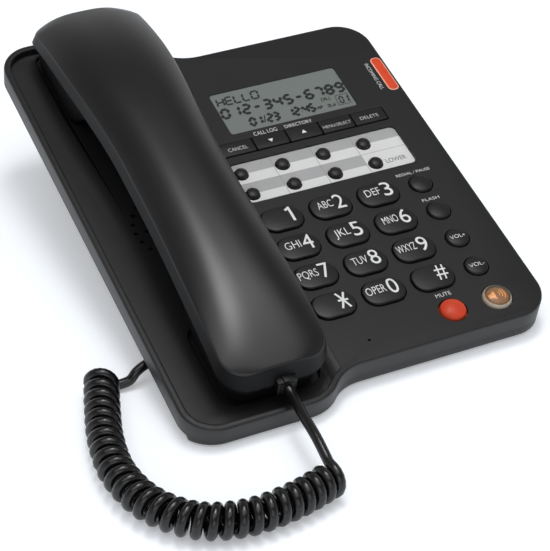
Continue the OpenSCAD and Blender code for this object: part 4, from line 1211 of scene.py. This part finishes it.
class PHONE_OT_keys(bpy.types.Operator):
    """Dial, function, mute, memory and menu keys with their print"""

    bl_idname = "phone.keys"
    bl_label = "Keys"

    def execute(self, context):
        self.dial()
        self.function_keys()
        self.memory_buttons()
        self.menu_keys()
        return {"FINISHED"}

    def finish_key(self, cap, node, x, q, prints, slot="key_black", finish="key"):
        """Joins a cap with its print, puts it on the panel and lets it ride on its own body."""
        paint(cap, finish)
        for p in prints:
            paint(p, "ink")
        smooth(cap, 40)
        if prints:
            join(cap, *prints)
        place(cap, PANEL @ shift(x, q))
        cap.name = node + "_cap"
        return dress(cap, None, node, slot, node)

    def dial(self):
        rise, crown = 1.6, 55
        first = key_cap("dial_key", *DIAL_KEY, rise, crown, sizes().key_round / MM)
        top = crowned(rise, crown)
        for i, (node, sign, letters) in enumerate(LEGENDS):
            if sign in BARS:
                prints = [self.bar_sign(*BARS[sign], SIGN_X, BAR_SIGN_Y, top)]
            else:
                prints = [ink(sign, SIGN_X, SIGN_Y, SIGN_H, SIGN_WIDTHS.get(sign, SIGN_W), top)]
            if letters:
                across = 8.0 if len(letters) == 4 else 6.4
                prints.append(ink(letters, 0.85 - across / 2, 0.9, 3.9, across, top, -0.006))
            x, q = DIAL_X + DIAL_PX * (i % 3), DIAL_Q - DIAL_PY * (i // 3)
            self.finish_key(twin(first, node + "_cap"), node, x, q, prints)
        bpy.data.objects.remove(first)

    def bar_sign(self, thick, ends, x, y, top):
        """Sign of crossed bars with rounded ends."""
        bars = []
        for x0, y0, x1, y1 in ends:
            half = hypot(x1 - x0, y1 - y0) / 2
            bar = block("sign_bar", (-half, -thick / 2, -0.1), (half, thick / 2, 0.1))
            bevel(bar, 0.3)
            for v in bar.data.vertices:
                v.co.z = copysign(0.1 * MM, v.co.z)
            turn = Matrix.Rotation(atan2(y1 - y0, x1 - x0), 4, "Z")
            bars.append(place(bar, shift((x0 + x1) / 2, (y0 + y1) / 2) @ turn))
        return lay_print(place(join(*bars), shift(x, y)), top)

    def function_keys(self):
        crown, rise = 18, 1.4
        first = key_cap("function_key", *FUNCTION_KEY, rise, crown, 0.7)
        for i, (node, words) in enumerate(FUNCTIONS):
            prints = [ink(words, 0, 0, 1.9, 6.4, crowned(rise, crown), -0.008)] if words else []
            self.finish_key(twin(first, node + "_cap"), node, FUNC_X, DIAL_Q - DIAL_PY * i, prints)
        bpy.data.objects.remove(first)
        mute = key_cap("mute_key_cap", *MUTE_KEY, 2.4, 9, 0.8, 12)
        self.finish_key(mute, "mute_key", DIAL_X + 2 * DIAL_PX, LOW_ROW_Q, [], "mute_red", "mute")
        self.speaker_key()

    def speaker_key(self):
        """Clear dome over an amber core with a loudspeaker sign; its rim carries a painted glint in a pale
        tone.
        """
        rise, crown, glint_band = 2.6, 10, 0.75
        core_rise, sign_rise = rise - 0.6, rise - 0.57
        dome = key_cap("speaker_key_cap", *SPEAKER_KEY, rise, crown, 0.8, 13)
        core = key_cap("speaker_key_core", *SPEAKER_CORE, core_rise, crown, 1.0)
        sign = lay_print(self.speaker_sign(), crowned(sign_rise, crown))

        # Painted glint: the rim band and the faces below the panel get a pale tone in place of the glints of
        # the clear edge
        def rim(f):
            x, y, z = f.center / MM
            return z <= 0 or edge_depth(x, y, *SPEAKER_KEY) <= glint_band

        paint(dome, "dome", "dome_rim", pick=rim)
        join(dome, paint(core, "amber"), paint(sign, "amber_sign"))
        smooth(dome, 40)
        place(dome, PANEL @ shift(FUNC_X, LOW_ROW_Q))
        dress(dome, None, "speaker_key", "speaker_amber", "speaker_key")

    def speaker_sign(self):
        """Flat sign: a horn and three waves."""
        bm = bmesh.new()

        def strip(points):
            low = [bm.verts.new((x * MM, y * MM, -MM)) for x, y in points]
            high = [bm.verts.new((x * MM, y * MM, MM)) for x, y in points]
            bm.faces.new(high)
            bm.faces.new(low[::-1])
            n = len(points)
            for i in range(n):
                bm.faces.new((low[i], low[(i + 1) % n], high[(i + 1) % n], high[i]))

        strip(((-3.8, -0.9), (-2.8, -0.9), (-1.2, -2.2), (-1.2, 2.2), (-2.8, 0.9), (-3.8, 0.9)))
        for r in (1.6, 2.7, 3.8):
            arc = [radians(a) for a in range(-40, 41, 10)]
            outer = [(r * cos(a) - 0.8, r * sin(a)) for a in arc]
            inner = [((r - 0.45) * cos(a) - 0.8, (r - 0.45) * sin(a)) for a in arc]
            for i in range(len(arc) - 1):
                strip((inner[i], outer[i], outer[i + 1], inner[i + 1]))
        return mesh_object("speaker_sign", bm)

    def memory_buttons(self):
        first = key_cap("memory_button", *MEMORY_KEY, 1.2, 6, 0.5, 9)
        for i in range(8):
            node = f"memory_button_{i + 1}"
            x, q = MEM_X + MEM_PX * (i % 4), MEM_Q - MEM_PY * (i // 4)
            self.finish_key(twin(first, node + "_cap"), node, x, q, [])
        bpy.data.objects.remove(first)

    def menu_keys(self):
        rise, rim, corner = 0.5, 0.4, 0.6
        size = (MENU_PITCH - MENU_GAP, MENU_H, corner)
        first = plate("menu_key", *size, FLANGE_LOW, 4, 4)
        edit(first)
        lift(rise - FLANGE_LOW)
        inset_to(rim_steps(rim, 4))
        done()
        shape_top(first, rise, lambda x, y: rise - round_loss(edge_depth(x, y, *size), rim))
        top = crowned(rise)
        for i, (word, wide, tall) in enumerate(MENU_WORDS):
            node = f"menu_key_{i + 1}"
            if wide:
                prints = [ink(word, 0, -0.4, tall, wide, top, -0.018)]
            else:
                prints = [self.arrow(top, 0 if word == "up" else pi)]
            x = CARD_X0 + MENU_PITCH * (i + 0.5)
            self.finish_key(twin(first, node + "_cap"), node, x, MENU_Q, prints)
        bpy.data.objects.remove(first)

    def arrow(self, top, turn):
        clear_selection()
        bpy.ops.mesh.primitive_cylinder_add(vertices=3, radius=1.25 * MM, depth=0.2 * MM)
        return lay_print(place(bpy.context.object, Matrix.Rotation(turn, 4, "Z")), top)


# Lit segments of each character
SEGMENTS = {
    "0": "abcdef", "1": "bc", "2": "abged", "3": "abgcd", "4": "fgbc", "5": "afgcd", "6": "afgedc",
    "7": "abc", "8": "abcdefg", "9": "abcdfg", "-": "g", "H": "fegbc", "E": "afged", "L": "fed",
    "O": "abcdef", "A": "efabcg", "C": "afed", "P": "efabg", "d": "bcdeg",
}

# Lines of the display: characters, x, y, width and height of one, pitch and stroke
DISPLAY_LINES = (
    ("HELLO", -27.6, 4.9, 2.9, 4.3, 3.85, 0.85), ("012-345-6789", -27.4, -2.3, 2.9, 5.0, 4.72, 1.4),
    ("01/23", -17.2, -9.7, 2.1, 4.2, 2.85, 1.4), ("12:45", -0.2, -9.7, 2.1, 4.2, 2.85, 1.4),
    ("01", 23.6, -8.9, 1.5, 3.7, 2.2, 0.65), ("AP", 12.9, -9.5, 0.9, 1.6, 1.3, 0.42),
    ("CALL", 15.9, -5.4, 0.8, 1.6, 1.15, 0.42), ("OLd", 17.6, -9.5, 0.8, 1.6, 1.15, 0.42),
)
DISPLAY_FRAME = (22.2, -9.8, 5.6, 5.7)
# Sideways lean of the characters, and the gap at a segment's ends
SLANT, SEGMENT_GAP = 0.12, 0.05
# Foot of the display's pane, and the room between its layers
PANE_FOOT, LAYER_GAP = -2.3, 0.06


class PHONE_OT_display(bpy.types.Operator):
    """Display with its segments, window and ring lamp"""

    bl_idname = "phone.display"
    bl_label = "Display and lamp"

    def execute(self, context):
        field = solid_copy("lcd_module", "display_field")
        pane = plate("display_pane", LCD_W - 0.2, LCD_H - 0.2, LCD_R, 0, 6, 4)
        window = twin(pane, "display_window")
        place(extruded(pane, DISPLAY_TOP - PANE_FOOT), PANEL @ shift(LCD_X, LCD_Q, PANE_FOOT))
        join(field, pane)
        dress(field, "display", "base", "lcd_grey", "lcd_module")
        bevel(extruded(window, WINDOW_TOP - DISPLAY_TOP - LAYER_GAP), 0.1)
        place(window, PANEL @ shift(LCD_X, LCD_Q, DISPLAY_TOP + LAYER_GAP))
        smooth(window)
        dress(window, "window", "base", "clear_plastic", "lcd_window")
        self.bm = bmesh.new()
        for line in DISPLAY_LINES:
            self.line(*line)
        self.box(*DISPLAY_FRAME)
        segments = mesh_object("display_segments", self.bm)
        apply_modifier(segments, "SOLIDIFY", thickness=0.04 * MM, offset=1)
        place(segments, PANEL @ shift(LCD_X, LCD_Q, DISPLAY_TOP + 0.03))
        dress(segments, "segment", "base", "lcd_grey")
        self.lamp()
        return {"FINISHED"}

    def bar(self, a, b, width):
        """One display segment: a bar with pointed ends between two places."""
        a, b = Vector(a), Vector(b)
        along = (b - a).normalized()
        side = Vector((-along.y, along.x)) * width / 2
        tip = along * width / 2
        spots = (a, a + tip - side, b - tip - side, b, b - tip + side, a + tip + side)
        verts = [self.bm.verts.new(((p.x + SLANT * p.y) * MM, p.y * MM, 0)) for p in spots]
        self.bm.faces.new(verts)

    def line(self, words, x, y, w, h, pitch, thick):
        """Row of characters in seven slanted segments each."""
        mid = h / 2
        corners = {
            "a": ((0, h), (w, h)), "b": ((w, h), (w, mid)), "c": ((w, mid), (w, 0)), "d": ((0, 0), (w, 0)),
            "e": ((0, mid), (0, 0)), "f": ((0, h), (0, mid)), "g": ((0, mid), (w, mid)),
        }
        for ch in words:
            if ch == "/":
                self.bar((x + w * 0.1, y), (x + w * 0.55, y + h), 0.5)
                x += pitch * 0.7
                continue
            if ch == ":":
                for k in (0.3, 0.7):
                    self.bar((x, y + h * k), (x + 0.6, y + h * k), 0.6)
                x += pitch * 0.4
                continue
            for name in SEGMENTS[ch]:
                a, b = (Vector(p) + Vector((x, y)) for p in corners[name])
                step = (b - a).normalized() * SEGMENT_GAP
                self.bar(a + step, b - step, thick)
            x += pitch

    def box(self, x, y, w, h):
        spots = ((x, y), (x + w, y), (x + w, y + h), (x, y + h))
        for i in range(4):
            self.bar(spots[i], spots[(i + 1) % 4], 0.22)

    def lamp(self):
        """Orange lens, a little domed, whose rim carries a painted glint in a pale tone."""
        size, rise, low, rim = (4.9, 21, 2.2), 0.2, -3, 0.25
        edge, dome = 0.5, 0.12
        lens = plate("ring_lamp_lens_piece", *size, low, 10, 8)
        edit(lens)
        lift(rise - low)
        inset_to((*rim_steps(rim, 4), edge, edge + 0.02, 0.9, 1.3, 1.7))
        done()

        def height(x, y):
            d = edge_depth(x, y, *size)
            return rise - dome - round_loss(d, rim) + dome * ramp((d - edge) / 1.2)

        # Painted glint: the band along the top of the lens's rim gets a pale tone in place of the light
        # caught on its edge
        def pale(f):
            x, y, z = f.center / MM
            return z > -0.3 and edge_depth(x, y, *size) < edge

        paint(shape_top(lens, rise, height), "lamp", "lamp_edge", pick=pale)
        smooth(lens)
        place(lens, PANEL @ shift(LAMP_X, LAMP_Q))
        dress(lens, None, "base", "lamp_orange", "ring_lamp_lens")


class PHONE_OT_card(bpy.types.Operator):
    """Printed card round the memory buttons, and its clear cover"""

    bl_idname = "phone.card"
    bl_label = "Memory card"

    def execute(self, context):
        card = solid_copy("memory_card", "printed_card")
        edit(card)
        columns = [MEM_X + MEM_PX * i - 3.65 for i in (1, 2, 3)]
        upper, middle, lower = 8.6, 3.24, -2.7
        thin = 0.09
        for x in columns:
            for d in (-thin, thin):
                self.slice((x + d, 0), (1, 0))
        for q in (upper, middle - thin, middle + thin, lower):
            self.slice((0, q), (0, 1))
        done()

        def tone(f):
            x, q = panel_place(f.center).xy
            if any(abs(x - c) < thin for c in columns) or abs(q - middle) < thin:
                return 2
            return (q > upper or middle > q > lower) and not (x > columns[2] and q < middle)

        paint(card, "card_white", "card_grey", "card_line", pick=tone)
        place(card, Matrix.Translation(PANEL.to_3x3() @ Vector((0, 0, -CARD_GAP * MM))))
        dress(card, None, "base", "card_paper", "memory_card")
        word = ink("LOWER", 55.4, -3.1, 2.3, 9.0, crowned(CARD_TOP - CARD_GAP))
        place(word, PANEL)
        word.name = "card_word"
        dress(word, "card_word", "base", "card_paper")
        keep("card_cover", "cover")
        return {"FINISHED"}

    def slice(self, at, across):
        bpy.ops.mesh.select_all(action="SELECT")
        point = PANEL @ (Vector((*at, 0)) * MM)
        way = PANEL.to_3x3() @ Vector((*across, 0))
        bpy.ops.mesh.bisect(plane_co=point, plane_no=way)


class PHONE_OT_labels(bpy.types.Operator):
    """Words printed on the panel"""

    bl_idname = "phone.labels"
    bl_label = "Panel print"

    def execute(self, context):
        labels = (
            ("REDIAL / PAUSE", FUNC_X, DIAL_Q + 7.0, 1.45, 15.0, 0),
            ("FLASH", FUNC_X, DIAL_Q - DIAL_PY + 7.0, 1.5, 7.4, 0),
            ("MUTE", DIAL_X + 2 * DIAL_PX, LOW_ROW_Q + 8.2, 1.9, 6.4, 0),
            ("CALL LOG", CARD_X0 + MENU_PITCH * 1.5, MENU_Q + 5.6, 2.1, 10.3, 0),
            ("DIRECTORY", CARD_X0 + MENU_PITCH * 2.5, MENU_Q + 5.6, 1.85, 12.2, 0),
            ("INCOMING CALL", LAMP_X - 4.9, LAMP_Q - 0.3, 1.7, 16.5, -pi / 2),
        )
        words = [ink(w, x, q, tall, wide, crowned(0), -0.01, turn) for w, x, q, tall, wide, turn in labels]
        whole = join(*words)
        whole.name = "panel_print"
        place(whole, PANEL)
        dress(whole, "ink", "base", "case_black")
        return {"FINISHED"}


class PHONE_OT_sockets(bpy.types.Operator):
    """Line socket with its contacts, handset socket, hook plunger and ringer switch"""

    bl_idname = "phone.sockets"
    bl_label = "Sockets and switches"

    def execute(self, context):
        for node, body, slot, name in (
            ("line_jack", "base", "jack_black", "line_socket_shell"),
            ("hook_plunger", "hook_plunger", "key_black", "hook_plunger_piece"),
            ("ringer_switch", "ringer_switch", "key_black", "ringer_switch_piece"),
        ):
            piece = solid_copy(node, name)
            bevel_edges(piece, lambda e: 0.3 * MM, 3)
            smooth(piece)
            dress(piece, "jack", body, slot, node)
        keep("handset_jack", "jack")
        low, high = (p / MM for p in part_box("line_jack"))
        wires = []
        pitch, half, rise = 1.27, 0.2, 2.4
        near, far = Vector((0, low.y + 1.8, low.z + 5.4)), Vector((0, high.y - 1.6, low.z + 5.7))
        for i in range(4):
            x = (low.x + high.x) / 2 + (i - 1.5) * pitch
            wire = block("line_contact", near + Vector((x - half, 0, 0)), far + Vector((x + half, 0, 0)))
            for v in wire.data.vertices:
                if v.co.y > (high.y - 2) * MM:
                    v.co.z += rise * MM
            wires.append(wire)
        wires = join(*wires)
        bevel(wires, 0.06, 1)
        wires.name = "line_contacts"
        dress(wires, "gold", "base", "metal_can")
        return {"FINISHED"}


class PHONE_OT_insides(bpy.types.Operator):
    """Finishes of the board, key mat, loudspeaker and microphone"""

    bl_idname = "phone.insides"
    bl_label = "Insides"

    def execute(self, context):
        finishes = {"main_board": "board", "key_mat": "mat", "base_speaker": "cone", "desk_mic": "can"}
        for node, finish in finishes.items():
            keep(node, finish)
        return {"FINISHED"}


STEPS = (
    PHONE_OT_stage, PHONE_OT_cord, PHONE_OT_covers, PHONE_OT_handset, PHONE_OT_keys, PHONE_OT_display,
    PHONE_OT_card, PHONE_OT_labels, PHONE_OT_sockets, PHONE_OT_underside, PHONE_OT_insides,
)


class PHONE_PT_sidebar(bpy.types.Panel):
    """Lists the steps, sizes and colours"""

    bl_idname = "PHONE_PT_sidebar"
    bl_label = "Speakerphone"
    bl_space_type = "VIEW_3D"
    bl_region_type = "UI"
    bl_category = "Speakerphone"

    def draw(self, context):
        for step in STEPS:
            self.layout.operator(step.bl_idname)
        for group in (context.scene.phone_sizes, context.scene.phone_colours):
            for key in group.bl_rna.properties.keys():
                if key not in ("rna_type", "name"):
                    self.layout.prop(group, key)


CLASSES = (PhoneSizes, PhoneColours, *STEPS, PHONE_PT_sidebar)


def register():
    for c in CLASSES:
        bpy.utils.register_class(c)
    bpy.types.Scene.phone_sizes = PointerProperty(type=PhoneSizes)
    bpy.types.Scene.phone_colours = PointerProperty(type=PhoneColours)


def unregister():
    del bpy.types.Scene.phone_colours
    del bpy.types.Scene.phone_sizes
    for c in reversed(CLASSES):
        bpy.utils.unregister_class(c)


def main():
    register()
    for step in STEPS:
        group, name = step.bl_idname.split(".")
        getattr(getattr(bpy.ops, group), name)()
    clear_selection()


if __name__ == "__main__":
    main()
